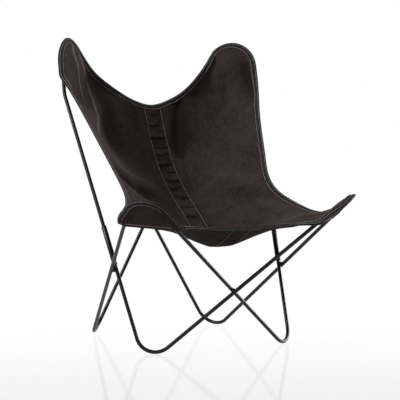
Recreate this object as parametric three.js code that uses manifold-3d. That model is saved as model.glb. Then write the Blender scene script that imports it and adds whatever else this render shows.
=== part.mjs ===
// A butterfly sling chair. Two loops of bent steel rod cross and are welded to each other, and
// one sewn cloth cover hangs on their four raised tips by its pockets.
// Millimetres, +Z up. The chair faces -Y, and left and right are as seen from in front.
import * as THREE from 'three';
import { mergeVertices } from 'three/addons/utils/BufferGeometryUtils.js';
import Module from 'manifold-3d';

const wasm = await Module();
wasm.setup();

// Rod frame. A corner is where the straight legs on both sides of a bend would meet.
const rodRadius = 5.5;
const frontCrossingGap = 0.9;
const sideCrossingGap = 2.5;
const rearCornerX = 353;
const rearCornerY = 293.5;
const rearCornerHeight = 998;
const frontCornerX = 361;
const frontCornerReach = 462.5;
const frontCornerHeight = 490.5;
const frontFootX = 239;
const frontFootReach = 237.5;
const rearFootY = 237.5;
const footBendRadius = 57;
const footFlatDepth = 0.5;
const frontTipRadius = 50;

// Upper part of the rear bows, which leans forward from its lower bends.
const bowBendDistance = 306;
const bowLeanDegrees = 14;
const bowHalfAngleDegrees = 11.5;
const bowBendRadius = 57;
const bowTopRadius = 68;

// Sleeves that the rear bows plug into, and weld beads
const sleeveLength = 120;
const sleeveRadius = 7.6;
const sleeveRise = 13;
const fitGap = 0.3;
const seamGap = 0.7;
const beadLength = 22;
const beadWidth = 15;
const beadReach = 3;

// Cloth cover
const clothThickness = 1.8;
const bindingThickness = 3.2;
const bindingWidth = 12;
const stripWidth = 59;
const rearPocketOuterLeg = 34;
const rearPocketInnerLeg = 26;
const frontPocketOuterLeg = 72;
const frontPocketInnerLeg = 83;
const frontEdgeOuterLeg = 67;
const frontEdgeInnerLeg = 82;
const rearEdgeInnerShare = 0.6;
const pocketGap = 1;
const foldHeight = 9;
const foldWidth = 26;
const seatSideRise = 30;
const drapeReach = 30;
const drapeSlope = 0.7;

// How far outside the rod's middle line the cloth's edge lies: over the apex of a tip, and along
// its outer and inner legs. The cover has slipped up a little on the left rear tip.
const rearLeftCrownReach = 27;
const rearRightCrownReach = 18;
const rearOuterReach = 17;
const rearInnerReach = 19;
const frontCrownReach = 18;
const frontOuterReach = 24;
const frontInnerReach = 16;

// Counts of facets and of rounds
const rodSides = 14;
const bendSteps = 9;
const sleeveSides = 24;
const beadSides = 18;
const tipSteps = 4;
const edgeArcSteps = 14;
const panelColumns = 15;
const panelRows = 36;
const stripColumns = 2;
const bandColumns = 1;
const pocketLegSteps = 3;
const pocketArcSteps = 8;
const curveSamples = 240;
const footRounds = 6;
const solveRounds = 30;

// The cover's free edges and its middle line, each place as three shares: how far along from the
// rear corner to the front corner, and the parts of that place's width and height.
const topEdgeShares = [
  [0.0736, 0, 0.7228],
  [0.0736, 0.17, 0.739],
  [0.0723, 0.3365, 0.7726],
  [0.0454, 0.517, 0.8173],
];
const sideEdgeShares = [
  [0.2208, 0.9025, 0.8417],
  [0.3052, 0.822, 0.7788],
  [0.3986, 0.7523, 0.711],
  [0.4907, 0.694, 0.643],
  [0.5611, 0.701, 0.6184],
  [0.6711, 0.799, 0.609],
  [0.7348, 0.858, 0.619],
];
const frontEdgeShares = [
  [0.8951, 0, 0.662],
  [0.8989, 0.195, 0.664],
  [0.9194, 0.391, 0.681],
];
const middleLineShares = [
  [0.0736, 0, 0.7228],
  [0.1209, 0, 0.6629],
  [0.1964, 0, 0.5846],
  [0.3065, 0, 0.5281],
  [0.4357, 0, 0.4892],
  [0.5867, 0, 0.442],
  [0.6686, 0, 0.4464],
  [0.7454, 0, 0.487],
  [0.8247, 0, 0.566],
  [0.8951, 0, 0.662],
];

// The cover's main folds: the side they are on, both ends as shares of the panel's width and
// length, and their share of the fold height.
const foldShares = [
  { side: -1, from: [0.97, 0.05], to: [0.62, 0.3], rise: 0.9 },
  { side: -1, from: [0.7, 0.0], to: [0.42, 0.24], rise: 0.7 },
  { side: -1, from: [0.98, 0.55], to: [0.25, 0.62], rise: 0.9 },
  { side: 1, from: [0.3, 0.02], to: [0.2, 0.3], rise: -0.7 },
  { side: 1, from: [0.93, 0.06], to: [0.6, 0.26], rise: -0.6 },
  { side: 1, from: [0.95, 0.86], to: [0.3, 0.92], rise: 0.8 },
];

// Shape of the seat: the power by which its sides rise from the middle strip, how fast the front
// edge's line fades behind it, and where along and across the sides of the seat rise most.
const backPower = 2;
const seatPower = 1.6;
const seatStartShare = 0.4;
const seatEndShare = 0.7;
const frontFadePower = 6;
const riseMiddleShare = 0.82;
const riseSpreadShare = 0.14;
const riseAcrossPower = 0.8;
const riseSharpness = 1.5;

const mix = THREE.MathUtils.lerp;
const smooth = THREE.MathUtils.smoothstep;
const bowLean = THREE.MathUtils.degToRad(bowLeanDegrees);
const bowHalfAngle = THREE.MathUtils.degToRad(bowHalfAngleDegrees);
const clothDepth = rodRadius + fitGap + clothThickness / 2;

const place = (x, y, z) => new THREE.Vector3(x, y, z);
const toward = (from, to) => to.clone().sub(from).normalize();
const step = (from, direction, distance) => from.clone().addScaledVector(direction, distance);

// The arc that rounds off a corner between two straight legs.
function bend(before, corner, after, radius, steps = bendSteps) {
  const toBefore = toward(corner, before);
  const toAfter = toward(corner, after);
  const halfAngle = toBefore.angleTo(toAfter) / 2;
  const middle = toBefore.clone().add(toAfter).normalize();
  const centre = step(corner, middle, radius / Math.sin(halfAngle));
  const first = step(corner, toBefore, radius / Math.tan(halfAngle)).sub(centre);
  const across = middle.clone().negate().addScaledVector(first, middle.dot(first) / first.lengthSq()).normalize();
  const sweep = Math.PI - 2 * halfAngle;
  return Array.from({ length: steps + 1 }, (_, i) => {
    const angle = (sweep * i) / steps;
    return step(step(centre, first, Math.cos(angle)), across, radius * Math.sin(angle));
  });
}

// Where two lines pass each other: the point of each that is nearest the other.
function crossing(lineA, lineB) {
  const a = toward(...lineA);
  const b = toward(...lineB);
  const apart = lineA[0].clone().sub(lineB[0]);
  const ab = a.dot(b);
  const alongA = (ab * b.dot(apart) - a.dot(apart)) / (1 - ab * ab);
  const alongB = (b.dot(apart) - ab * a.dot(apart)) / (1 - ab * ab);
  return [step(lineA[0], a, alongA), step(lineB[0], b, alongB)];
}

// A foot corner at the height that leaves the bend's underside the flat's depth under the floor.
function seatFoot(foot, before, after) {
  const seated = foot.clone();
  for (let round = 0; round < footRounds; round += 1) {
    const lowest = Math.min(...bend(before, seated, after, footBendRadius, curveSamples).map((p) => p.z));
    seated.z += rodRadius - footFlatDepth - lowest;
  }
  return seated;
}

// One loop's four corners. Side is the side of its rear tip, and its front tip is on the other. The
// whole loop lies further back by shift.
function cornersOf(side, shift, rearFootX) {
  const rearTip = place(side * rearCornerX, rearCornerY + shift, rearCornerHeight);
  const frontTip = place(-side * frontCornerX, shift - frontCornerReach, frontCornerHeight);
  const frontFoot = seatFoot(place(side * frontFootX, shift - frontFootReach, 0), rearTip, frontTip);
  const rearFoot = seatFoot(place(-side * rearFootX, rearFootY + shift, 0), rearTip, frontTip);
  return { rearTip, frontTip, frontFoot, rearFoot };
}

// How far outside the leg to a front foot the leg to the rear foot on that side passes.
function sideDistance(rearFootX) {
  const { rearTip, frontFoot } = cornersOf(1, 0, rearFootX);
  const { frontTip, rearFoot } = cornersOf(-1, 0, rearFootX);
  const [onInner, onOuter] = crossing([rearTip, frontFoot], [frontTip, rearFoot]);
  return Math.sign(onOuter.x - onInner.x) * onInner.distanceTo(onOuter);
}

// The rear feet stand as far out as makes those two legs pass with the side crossing's gap.
function solveRearFootX() {
  let low = 0;
  let high = 2 * frontFootX;
  for (let round = 0; round < solveRounds; round += 1) {
    const middle = (low + high) / 2;
    if (sideDistance(middle) < 2 * rodRadius + sideCrossingGap) low = middle;
    else high = middle;
  }
  return low;
}

const rearFootX = solveRearFootX();

// The two loops lie as far apart, one behind the other, as the front crossing's gap asks for.
function solveLoopSpacing() {
  const { frontTip, frontFoot } = cornersOf(1, 0, rearFootX);
  const way = toward(frontFoot, frontTip);
  const other = place(-way.x, way.y, way.z);
  return (2 * rodRadius + frontCrossingGap) / Math.abs(way.cross(other).normalize().y);
}

const loopSpacing = solveLoopSpacing();
const loopCorners = (side) => cornersOf(side, (side * loopSpacing) / 2, rearFootX);
const loops = { [-1]: loopCorners(-1), 1: loopCorners(1) };
const sideCrossing = (side) =>
  crossing([loops[side].rearTip, loops[side].frontFoot], [loops[-side].frontTip, loops[-side].rearFoot]);
const rearCrossing = (side) =>
  crossing([loops[side].rearTip, loops[side].rearFoot], [loops[-side].rearTip, loops[-side].rearFoot]);
const frontCrossing = crossing([loops[-1].frontFoot, loops[-1].frontTip], [loops[1].frontFoot, loops[1].frontTip]);

// The frame of a tip: its corner, an axis to its outer leg, one down between the legs and one out
// of its plane to the sitter, with its half angle, its radius and how far out the cloth reaches.
function tipFrame(corner, outer, inner, radius, reaches) {
  const across = toward(inner, outer);
  const down = toward(corner, outer).add(toward(corner, inner)).normalize();
  const face = across.clone().cross(down).normalize();
  const halfAngle = toward(corner, outer).angleTo(down);
  return { corner, across, down, face, halfAngle, radius, ...reaches };
}

// The bends of a rear bow: both straight legs turn forward and closer, and meet over the top.
function bowShape(side) {
  const { rearTip, frontFoot, rearFoot } = loops[side];
  const outer = step(rearTip, toward(rearTip, frontFoot), bowBendDistance);
  const inner = step(rearTip, toward(rearTip, rearFoot), bowBendDistance);
  const between = outer.clone().add(inner).divideScalar(2);
  const hinge = toward(inner, outer);
  const up = toward(between, rearTip);
  const forward = up.clone().cross(hinge);
  if (forward.y > 0) forward.negate();
  const leaning = up.multiplyScalar(Math.cos(bowLean)).addScaledVector(forward, Math.sin(bowLean));
  const top = step(between, leaning, outer.distanceTo(inner) / 2 / Math.tan(bowHalfAngle));
  return { outer, inner, top };
}

const bows = { [-1]: bowShape(-1), 1: bowShape(1) };
const rearTips = {};
const frontTips = {};
for (const side of [-1, 1]) {
  const { outer, inner, top } = bows[side];
  rearTips[side] = tipFrame(top, outer, inner, bowTopRadius, {
    crownReach: side < 0 ? rearLeftCrownReach : rearRightCrownReach,
    outerReach: rearOuterReach,
    innerReach: rearInnerReach,
  });
  const { frontTip, rearFoot, frontFoot } = loops[-side];
  frontTips[side] = tipFrame(
    frontTip,
    step(frontTip, toward(frontTip, rearFoot), frontCornerReach),
    step(frontTip, toward(frontTip, frontFoot), frontCornerReach),
    frontTipRadius,
    { crownReach: frontCrownReach, outerReach: frontOuterReach, innerReach: frontInnerReach },
  );
  if (rearTips[side].face.y > 0) rearTips[side].face.negate();
  if (frontTips[side].face.z < 0) frontTips[side].face.negate();
}

// Solids

function toManifold(geometry) {
  const bare = geometry.index ? geometry.toNonIndexed() : geometry.clone();
  bare.deleteAttribute('normal');
  bare.deleteAttribute('uv');
  const merged = mergeVertices(bare);
  return new wasm.Manifold(
    new wasm.Mesh({
      numProp: 3,
      vertProperties: new Float32Array(merged.attributes.position.array),
      triVerts: new Uint32Array(merged.index.array),
    }),
  );
}

function fromManifold(solid) {
  const { vertProperties, triVerts } = solid.getMesh();
  const geometry = new THREE.BufferGeometry();
  geometry.setAttribute('position', new THREE.BufferAttribute(vertProperties, 3));
  geometry.setIndex(new THREE.BufferAttribute(triVerts, 1));
  geometry.computeVertexNormals();
  return geometry;
}

// A path through stations, so that a straight leg takes one step and a bend takes many.
class StationPath extends THREE.Curve {
  constructor(stations) {
    super();
    this.stations = stations;
  }

  getUtoTmapping(u) {
    return u;
  }

  getPoint(t, target = new THREE.Vector3()) {
    const whole = t * (this.stations.length - 1);
    const index = Math.min(Math.floor(whole), this.stations.length - 2);
    return target.lerpVectors(this.stations[index], this.stations[index + 1], whole - index);
  }
}

function rodThrough(stations, radius = rodRadius) {
  const round = new THREE.Shape().absarc(0, 0, radius, 0, 2 * Math.PI);
  return new THREE.ExtrudeGeometry(round, {
    extrudePath: new StationPath(stations),
    steps: stations.length - 1,
    curveSegments: rodSides / 2,
    bevelEnabled: false,
  });
}

// Base rod of a loop: from its side sleeve down to the front foot, up over the front tip of the
// other side, down to the rear foot and up to its rear sleeve. Both feet are ground flat.
function sleeveSpan(crossed, tip) {
  const up = toward(crossed, tip);
  const low = step(crossed, up, sleeveRise);
  return { low, up, middle: step(low, up, sleeveLength / 2) };
}

const sideSleeve = (side) => sleeveSpan(sideCrossing(side)[0], loops[side].rearTip);
const rearSleeve = (side) => sleeveSpan(rearCrossing(side)[0], loops[side].rearTip);

function baseRod(side) {
  const { rearTip, frontTip, frontFoot, rearFoot } = loops[side];
  const first = sideSleeve(side);
  const last = rearSleeve(side);
  const stations = [
    step(first.middle, first.up, -fitGap),
    ...bend(rearTip, frontFoot, frontTip, footBendRadius),
    ...bend(frontFoot, frontTip, rearFoot, frontTipRadius),
    ...bend(frontTip, rearFoot, rearTip, footBendRadius),
    step(last.middle, last.up, -fitGap),
  ];
  const floor = new THREE.BoxGeometry(4 * frontCornerX, 4 * frontCornerReach, frontCornerHeight);
  floor.translate(0, 0, -frontCornerHeight / 2);
  return fromManifold(toManifold(rodThrough(stations)).subtract(toManifold(floor)));
}

function rearBow(side) {
  const { rearTip, frontFoot, rearFoot } = loops[side];
  const { outer, inner, top } = bows[side];
  const first = sideSleeve(side);
  const last = rearSleeve(side);
  return rodThrough([
    step(first.middle, first.up, fitGap),
    ...bend(frontFoot, outer, top, bowBendRadius, tipSteps),
    ...bend(outer, top, inner, bowTopRadius),
    ...bend(top, inner, rearFoot, bowBendRadius, tipSteps),
    step(last.middle, last.up, fitGap),
  ]);
}

function placeSleeve(mesh, { low, up }) {
  mesh.position.copy(low);
  mesh.quaternion.setFromUnitVectors(THREE.Object3D.DEFAULT_UP.clone().set(0, 0, 1), up);
  return mesh;
}

function sleeveTube() {
  const bore = rodRadius + fitGap;
  const wall = [
    new THREE.Vector2(bore, 0),
    new THREE.Vector2(sleeveRadius, 0),
    new THREE.Vector2(sleeveRadius, sleeveLength),
    new THREE.Vector2(bore, sleeveLength),
    new THREE.Vector2(bore, 0),
  ];
  return new THREE.LatheGeometry(wall, sleeveSides).rotateX(Math.PI / 2);
}

// Weld bead between two crossing rods: a lens over the crossing, less the room of both rods.
function weldBead([onFirst, onSecond], firstEnd, secondEnd) {
  const apart = toward(onFirst, onSecond);
  const firstWay = toward(onFirst, firstEnd);
  const secondWay = toward(onSecond, secondEnd);
  const middle = onFirst.clone().add(onSecond).divideScalar(2);
  const along = firstWay.clone().add(secondWay).normalize();
  const across = apart.clone().cross(along).normalize();
  const lens = new THREE.SphereGeometry(1, beadSides, beadSides / 2);
  lens.scale(beadLength / 2, beadWidth / 2, onFirst.distanceTo(onSecond) / 2 + beadReach);
  lens.applyMatrix4(new THREE.Matrix4().makeBasis(along, across, apart).setPosition(middle));
  const room = (point, way) =>
    toManifold(rodThrough([step(point, way, -beadLength), step(point, way, beadLength)], rodRadius + fitGap));
  const bead = toManifold(lens).subtract(room(onFirst, firstWay)).subtract(room(onSecond, secondWay));
  return fromManifold(bead);
}

// Cloth

// A place that a row of shares gives, between the rear and the front corner of one side.
function sharedPlace(side, [along, width, height]) {
  const rear = loops[side].rearTip;
  const front = loops[-side].frontTip;
  const middleY = mix(rearCornerY, -frontCornerReach, along);
  const sideY = mix(rear.y, front.y, along);
  const y = mix(middleY, sideY, Math.min(1, 2 * width));
  return place(mix(rear.x, front.x, along) * width, y, mix(rear.z, front.z, along) * height);
}

// A place in a tip: out from the rod's line by reach, and in front of the tip's plane by depth.
// Turn goes from 0 at the apex to 1 where the arc ends, and leg then follows the straight leg.
function tipPlace(tip, hand, turn, leg, reach, depth) {
  const angle = turn * (Math.PI / 2 - tip.halfAngle);
  const round = tip.radius + reach;
  const centre = tip.radius / Math.sin(tip.halfAngle);
  const across = hand * (round * Math.sin(angle) + leg * Math.sin(tip.halfAngle));
  const down = centre - round * Math.cos(angle) + leg * Math.cos(tip.halfAngle);
  return step(step(step(tip.corner, tip.across, across), tip.down, down), tip.face, depth);
}

// How far out of the rod's line the cloth's edge is, at a turn of the arc.
const edgeReach = (tip, hand, turn) =>
  mix(tip.crownReach, hand > 0 ? tip.outerReach : tip.innerReach, smooth(turn, 0, 1));

// The cloth's edge round half a tip, in the rods' own plane: from the apex over a share of the arc,
// then along the leg, where it starts to rise.
function tipEdge(tip, hand, turn, leg) {
  const arc = Array.from({ length: edgeArcSteps + 1 }, (_, i) => {
    const here = (turn * i) / edgeArcSteps;
    return tipPlace(tip, hand, here, 0, edgeReach(tip, hand, here), 0);
  });
  const straight = [leg / 2, leg].map((along) =>
    tipPlace(tip, hand, 1, along, edgeReach(tip, hand, 1), (clothThickness * along) / leg));
  return leg ? [...arc, ...straight] : arc;
}

// How far a point is from the middle line of a tip's rod, seen square to the tip's plane. Inside the
// tip it is less than 0.
function offRod(tip, point) {
  const from = point.clone().sub(tip.corner);
  const across = Math.abs(from.dot(tip.across));
  const down = from.dot(tip.down) - tip.radius / Math.sin(tip.halfAngle);
  const cosine = Math.cos(tip.halfAngle);
  const sine = Math.sin(tip.halfAngle);
  const beside = across * cosine - down * sine;
  return (down * cosine + across * sine > 0 ? beside : Math.hypot(across, down)) - tip.radius;
}

// A cloth point lifted to the sitter's side of the rod of a tip, where it is near it.
function liftOverRod(tip, point) {
  const height = point.clone().sub(tip.corner).dot(tip.face);
  const aside = Math.abs(offRod(tip, point));
  const wanted = clothDepth + seamGap - drapeSlope * Math.max(0, aside - drapeReach);
  return height < wanted ? step(point, tip.face, wanted - height) : point.clone();
}

// Places at equal distances along a dense line, each as the index before it and the share after.
function equalPlaces(line, count) {
  const lengths = line.map((p, i) => (i ? p.distanceTo(line[i - 1]) : 0));
  const total = lengths.reduce((sum, length) => sum + length);
  const result = [[0, 0]];
  let index = 1;
  let passed = 0;
  for (let k = 1; k < count; k += 1) {
    const goal = (total * k) / count;
    while (passed + lengths[index] < goal) {
      passed += lengths[index];
      index += 1;
    }
    result.push([index - 1, (goal - passed) / lengths[index]]);
  }
  result.push([line.length - 2, 1]);
  return result;
}

const spaced = (line, count) =>
  equalPlaces(line, count).map(([index, share]) => line[index].clone().lerp(line[index + 1], share));

const curveThrough = (points) => spaced(new THREE.CatmullRomCurve3(points).getPoints(curveSamples), curveSamples);

// From the middle of the cover outwards: level where it crosses the middle line.
function curveFromMiddle(points) {
  const mirrored = points[1].clone();
  mirrored.x = -mirrored.x;
  const dense = new THREE.CatmullRomCurve3([mirrored, ...points]).getPoints(points.length * curveSamples);
  return spaced(dense.filter((p, i) => i >= curveSamples), curveSamples);
}

const inset = bindingWidth + seamGap;
const middleLine = curveThrough(middleLineShares.map((row) => sharedPlace(1, row)));
const middleStart = toward(middleLine[0], middleLine[6]);
const middleEnd = toward(middleLine.at(-1), middleLine.at(-7));

// A direction into the cloth, turned up so far that the seam at its end passes over the rods.
function risen(side, point, inward) {
  let way = inward;
  for (let round = 0; round < footRounds; round += 1) {
    const seam = step(point, way, inset);
    way = toward(point, liftOverRod(frontTips[side], liftOverRod(rearTips[side], seam)));
  }
  return way;
}

// An edge as points with the direction from each into the cloth.
function withInward(side, line, wish) {
  return line.map((point, i) => {
    const tangent = toward(line[Math.max(i - 1, 0)], line[Math.min(i + 1, line.length - 1)]);
    const share = i / (line.length - 1);
    const inward = wish(share, point);
    if (share > 0 && share < 1) inward.addScaledVector(tangent, -inward.dot(tangent));
    return { point, inward: risen(side, point, inward.normalize()) };
  });
}

const blend = (a, b, share) => a.clone().multiplyScalar(1 - share).addScaledVector(b, share);
const tipCentre = (tip) => tipPlace(tip, 1, 0, 0, -tip.radius, 0);

function crossEdge(side, shares, tip, turn, leg, middleInward) {
  const table = shares.map((row) => sharedPlace(side, row));
  const line = curveFromMiddle([...table, ...tipEdge(tip, -1, turn, leg).reverse()]);
  const centre = tipCentre(tip);
  return withInward(side, line, (share, point) =>
    share === 1 ? tip.down.clone() : blend(middleInward, toward(point, centre), smooth(share, 0.1, 0.75)));
}

function sideEdge(side) {
  const rear = rearTips[side];
  const front = frontTips[side];
  const table = sideEdgeShares.map((row) => sharedPlace(side, row));
  const line = curveThrough([
    ...tipEdge(rear, 1, 1, rearPocketOuterLeg),
    ...table,
    ...tipEdge(front, 1, 1, frontEdgeOuterLeg).reverse(),
  ]);
  return withInward(side, line, (share, point) => {
    if (share === 0) return rear.down.clone();
    if (share === 1) return front.down.clone();
    const middle = middleLine[Math.round(share * (middleLine.length - 1))];
    const section = middle.clone().sub(point);
    section.x /= 2;
    const fromRear = blend(toward(point, tipCentre(rear)), section.normalize(), smooth(share, 0.12, 0.3));
    return blend(fromRear, toward(point, tipCentre(front)), smooth(share, 0.76, 0.88));
  });
}

const edges = {};
for (const side of [-1, 1]) {
  edges[side] = {
    top: crossEdge(side, topEdgeShares, rearTips[side], rearEdgeInnerShare, 0, middleStart),
    side: sideEdge(side),
    front: crossEdge(side, frontEdgeShares, frontTips[side], 1, frontEdgeInnerLeg, middleEnd),
  };
}

const seamX = (stripWidth + fitGap) / 2;
const into = ({ point, inward }, distance) => step(point, inward, distance);

// The station between two stations of an edge.
const between = (a, b, share) => ({
  point: a.point.clone().lerp(b.point, share),
  inward: blend(a.inward, b.inward, share).normalize(),
});

// Stations of an edge, at equal distances along the line where the panel ends.
function stationsOf(edge, count) {
  const line = edge.map((station) => into(station, inset));
  return equalPlaces(line, count).map(([index, share]) => between(edge[index], edge[index + 1], share));
}

// The part of an edge past the seam of the middle strip.
function pastSeam(edge) {
  const widths = edge.map((station) => Math.abs(into(station, inset).x));
  const index = widths.findIndex((width) => width > seamX);
  const share = (seamX - widths[index - 1]) / (widths[index] - widths[index - 1]);
  return [between(edge[index - 1], edge[index], share), ...edge.slice(index)];
}

const stations = {};
for (const side of [-1, 1]) {
  stations[side] = {
    top: stationsOf(pastSeam(edges[side].top), panelColumns),
    side: stationsOf(edges[side].side, panelRows),
    front: stationsOf(pastSeam(edges[side].front), panelColumns),
  };
}

// A grid of quads as a sheet: rows of points, all of one length.
function gridSheet(rows) {
  const columns = rows[0].length;
  const faces = [];
  for (let j = 0; j + 1 < rows.length; j += 1) {
    for (let i = 0; i + 1 < columns; i += 1) {
      const a = j * columns + i;
      faces.push([a, a + 1, a + columns + 1], [a, a + columns + 1, a + columns]);
    }
  }
  return { points: rows.flat(), faces };
}

// Normals of a sheet's points, from the areas of the faces round each.
function sheetNormals({ points, faces }) {
  const normals = points.map(() => new THREE.Vector3());
  for (const [a, b, c] of faces) {
    const area = points[b].clone().sub(points[a]).cross(points[c].clone().sub(points[a]));
    for (const index of [a, b, c]) normals[index].add(area);
  }
  return normals.map((normal) => normal.normalize());
}

// A sheet given its thickness: a copy on each side, and a rim along every open edge.
function thicken(sheet, thickness) {
  const { points, faces } = sheet;
  const normals = sheetNormals(sheet);
  const count = points.length;
  const layers = [thickness / 2, -thickness / 2].flatMap((shift) =>
    points.map((point, i) => step(point, normals[i], shift)));
  const triangles = faces.flatMap(([a, b, c]) => [[a, b, c], [a + count, c + count, b + count]]);
  const open = new Map();
  for (const [a, b, c] of faces) {
    for (const [from, to] of [[a, b], [b, c], [c, a]]) {
      if (!open.delete(`${to}-${from}`)) open.set(`${from}-${to}`, [from, to]);
    }
  }
  for (const [from, to] of open.values()) {
    triangles.push([from, from + count, to + count], [from, to + count, to]);
  }
  const geometry = new THREE.BufferGeometry();
  geometry.setAttribute('position', new THREE.Float32BufferAttribute(layers.flatMap((p) => p.toArray()), 3));
  geometry.setIndex(triangles.flat());
  geometry.computeVertexNormals();
  return geometry;
}

// How far the main folds lift a panel at the given shares of its width and length.
function foldLift(side, u, v, width, length) {
  let lift = 0;
  for (const fold of foldShares) {
    if (fold.side !== side) continue;
    const start = new THREE.Vector2(fold.from[0] * width, fold.from[1] * length);
    const end = new THREE.Vector2(fold.to[0] * width, fold.to[1] * length);
    const way = end.clone().sub(start);
    const here = new THREE.Vector2(u * width, v * length).sub(start);
    const along = THREE.MathUtils.clamp(here.dot(way) / way.lengthSq(), 0, 1);
    const off = here.addScaledVector(way, -along).length() / foldWidth;
    lift += fold.rise * foldHeight * Math.exp(-off * off) * Math.sin(Math.PI * (0.15 + 0.7 * along));
  }
  return lift;
}

// How far the sides of the seat rise where the front tips pull at them.
function seatRise(u, v) {
  const across = Math.sin(Math.PI * u ** riseAcrossPower) ** riseSharpness;
  const along = (v - riseMiddleShare) / riseSpreadShare;
  return seatSideRise * across * Math.exp(-along * along);
}

// A side panel, stretched between its three sewn edges and the middle strip. Across, its height
// and depth follow a power of the width that is level at the strip, and its tips lie on the rods.
function panelRowsOf(side) {
  const [top, outer, front] = ['top', 'side', 'front'].map((name) =>
    stations[side][name].map((station) => into(station, inset)));
  const total = middleLine[0].distanceTo(middleLine[1]) * curveSamples;
  const skip = Math.round((curveSamples * inset) / total);
  const inner = spaced(middleLine.slice(skip, -skip), panelRows);
  const width = top[0].distanceTo(top.at(-1));
  const inside = (i, j) => i > 0 && i < panelColumns && j > 0 && j < panelRows;
  const rows = outer.map((outerPoint, j) => {
    const v = j / panelRows;
    const power = mix(backPower, seatPower, smooth(v, seatStartShare, seatEndShare));
    const innerPoint = inner[j].clone();
    innerPoint.addScaledVector(top[0].clone().sub(inner[0]), (1 - v) ** 2);
    innerPoint.addScaledVector(front[0].clone().sub(inner[panelRows]), v ** 2);
    innerPoint.x = side * seamX;
    return top.map((topPoint, i) => {
      const u = i / panelColumns;
      const point = new THREE.Vector3();
      for (const axis of ['x', 'y', 'z']) {
        const share = axis === 'x' ? u : u ** power;
        const topShare = axis === 'x' ? u : u ** backPower;
        const frontShare = axis === 'x' ? u : u ** seatPower;
        const fromTop = topPoint[axis] - mix(top[0][axis], top[panelColumns][axis], topShare);
        const fromFront = front[i][axis] - mix(front[0][axis], front[panelColumns][axis], frontShare);
        point[axis] = mix(innerPoint[axis], outerPoint[axis], share) + (1 - v) ** 2 * fromTop;
        point[axis] += v ** frontFadePower * fromFront;
      }
      if (!inside(i, j)) return point;
      point.z += seatRise(u, v);
      for (const tip of [rearTips[side], frontTips[side]]) {
        const off = point.clone().sub(tip.corner).dot(tip.face) - clothDepth;
        const reach = point.distanceTo(tipCentre(tip)) / tip.radius;
        point.addScaledVector(tip.face, -off * (1 - smooth(reach, 1, 2.2)));
        point.copy(liftOverRod(tip, point));
      }
      return point;
    });
  });
  const normals = sheetNormals(gridSheet(rows));
  const facing = normals[0].z > 0 ? 1 : -1;
  return rows.map((row, j) =>
    row.map((point, i) => {
      const u = i / panelColumns;
      const v = j / panelRows;
      const border = Math.min(1, 4 * Math.min(u, 1 - u, v, 1 - v));
      const lift = border * foldLift(side, u, v, width, total);
      return step(point, normals[j * row.length + i], facing * lift);
    }));
}

const sidePanel = (side) => thicken(gridSheet(side > 0 ? panelRowsOf(side) : panelRowsOf(side).reverse()), clothThickness);

function middleStrip() {
  const total = middleLine[0].distanceTo(middleLine[1]) * curveSamples;
  const skip = Math.round((curveSamples * inset) / total);
  const half = (stripWidth - fitGap) / 2;
  const rows = spaced(middleLine.slice(skip, -skip), panelRows).map((point) =>
    Array.from({ length: stripColumns + 1 }, (_, i) => place(mix(-half, half, i / stripColumns), point.y, point.z)));
  return thicken(gridSheet(rows), clothThickness);
}

// Stations with both ends moved inwards, so that the tapes of two edges don't meet.
function withoutEnds(row) {
  const cut = (a, b) => between(a, b, seamGap / a.point.distanceTo(b.point));
  return [cut(row[0], row[1]), ...row.slice(1, -1), cut(row.at(-1), row.at(-2))];
}

// Binding: a folded tape round the cover's edge, as one band as wide as the tape.
function bindingBand(row) {
  const rows = row.map((station) =>
    Array.from({ length: bandColumns + 1 }, (_, i) => into(station, (bindingWidth * i) / bandColumns)));
  return thicken(gridSheet(rows), bindingThickness);
}

const sideBinding = (side) => bindingBand(withoutEnds(stations[side].side));
const acrossBinding = (name) =>
  bindingBand(withoutEnds([...stations[-1][name].toReversed(), edges[1][name][0], ...stations[1][name]]));

// Pocket: the cloth behind a tip. It starts at the seam inside the binding, runs under the rod,
// lies flat behind the tip and ends at the hem across both legs.
function pocket(tip, outerLeg, innerLeg) {
  const round = (rodRadius + pocketGap + clothThickness / 2) / Math.cos(Math.PI / 8);
  const seamDepth = -(bindingThickness / 2 + pocketGap + clothThickness / 2);
  const section = [
    [round * Math.SQRT1_2, -round * Math.SQRT1_2],
    [0, -round],
    [-tip.radius / 3, -round],
    [(-2 * tip.radius) / 3, -round],
  ];
  const turns = [];
  for (let k = pocketLegSteps; k >= 1; k -= 1) turns.push([-1, 1, (innerLeg * k) / pocketLegSteps]);
  for (let k = pocketArcSteps; k >= 1; k -= 1) turns.push([-1, k / pocketArcSteps, 0]);
  for (let k = 0; k <= pocketArcSteps; k += 1) turns.push([1, k / pocketArcSteps, 0]);
  for (let k = 1; k <= pocketLegSteps; k += 1) turns.push([1, 1, (outerLeg * k) / pocketLegSteps]);
  const rows = section.map(([reach, depth]) =>
    turns.map(([hand, turn, leg]) => tipPlace(tip, hand, turn, leg, reach, depth)));
  rows.unshift(turns.map(([hand, turn, leg]) =>
    tipPlace(tip, hand, turn, leg, edgeReach(tip, hand, turn) - clothThickness, seamDepth)));
  const sheet = gridSheet(rows);
  const last = (rows.length - 1) * turns.length;
  for (let low = 0, high = turns.length - 1; low + 1 < high; low += 1, high -= 1) {
    const [a, b, c, d] = [last + low, last + low + 1, last + high - 1, last + high];
    sheet.faces.push([a, b, d]);
    if (b !== c) sheet.faces.push([b, c, d]);
  }
  return thicken(sheet, clothThickness);
}

// Assembly

const steel = new THREE.MeshStandardMaterial({ color: 0x141414, metalness: 0.3, roughness: 0.45 });
const weldSteel = new THREE.MeshStandardMaterial({ color: 0x171717, metalness: 0.3, roughness: 0.6 });
const canvas = new THREE.MeshStandardMaterial({ color: 0x332b29, roughness: 0.95 });
const stripCanvas = new THREE.MeshStandardMaterial({ color: 0x2a2321, roughness: 0.95 });
const tape = new THREE.MeshStandardMaterial({ color: 0x2b2b2d, roughness: 0.8 });

const chair = new THREE.Group();

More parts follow.
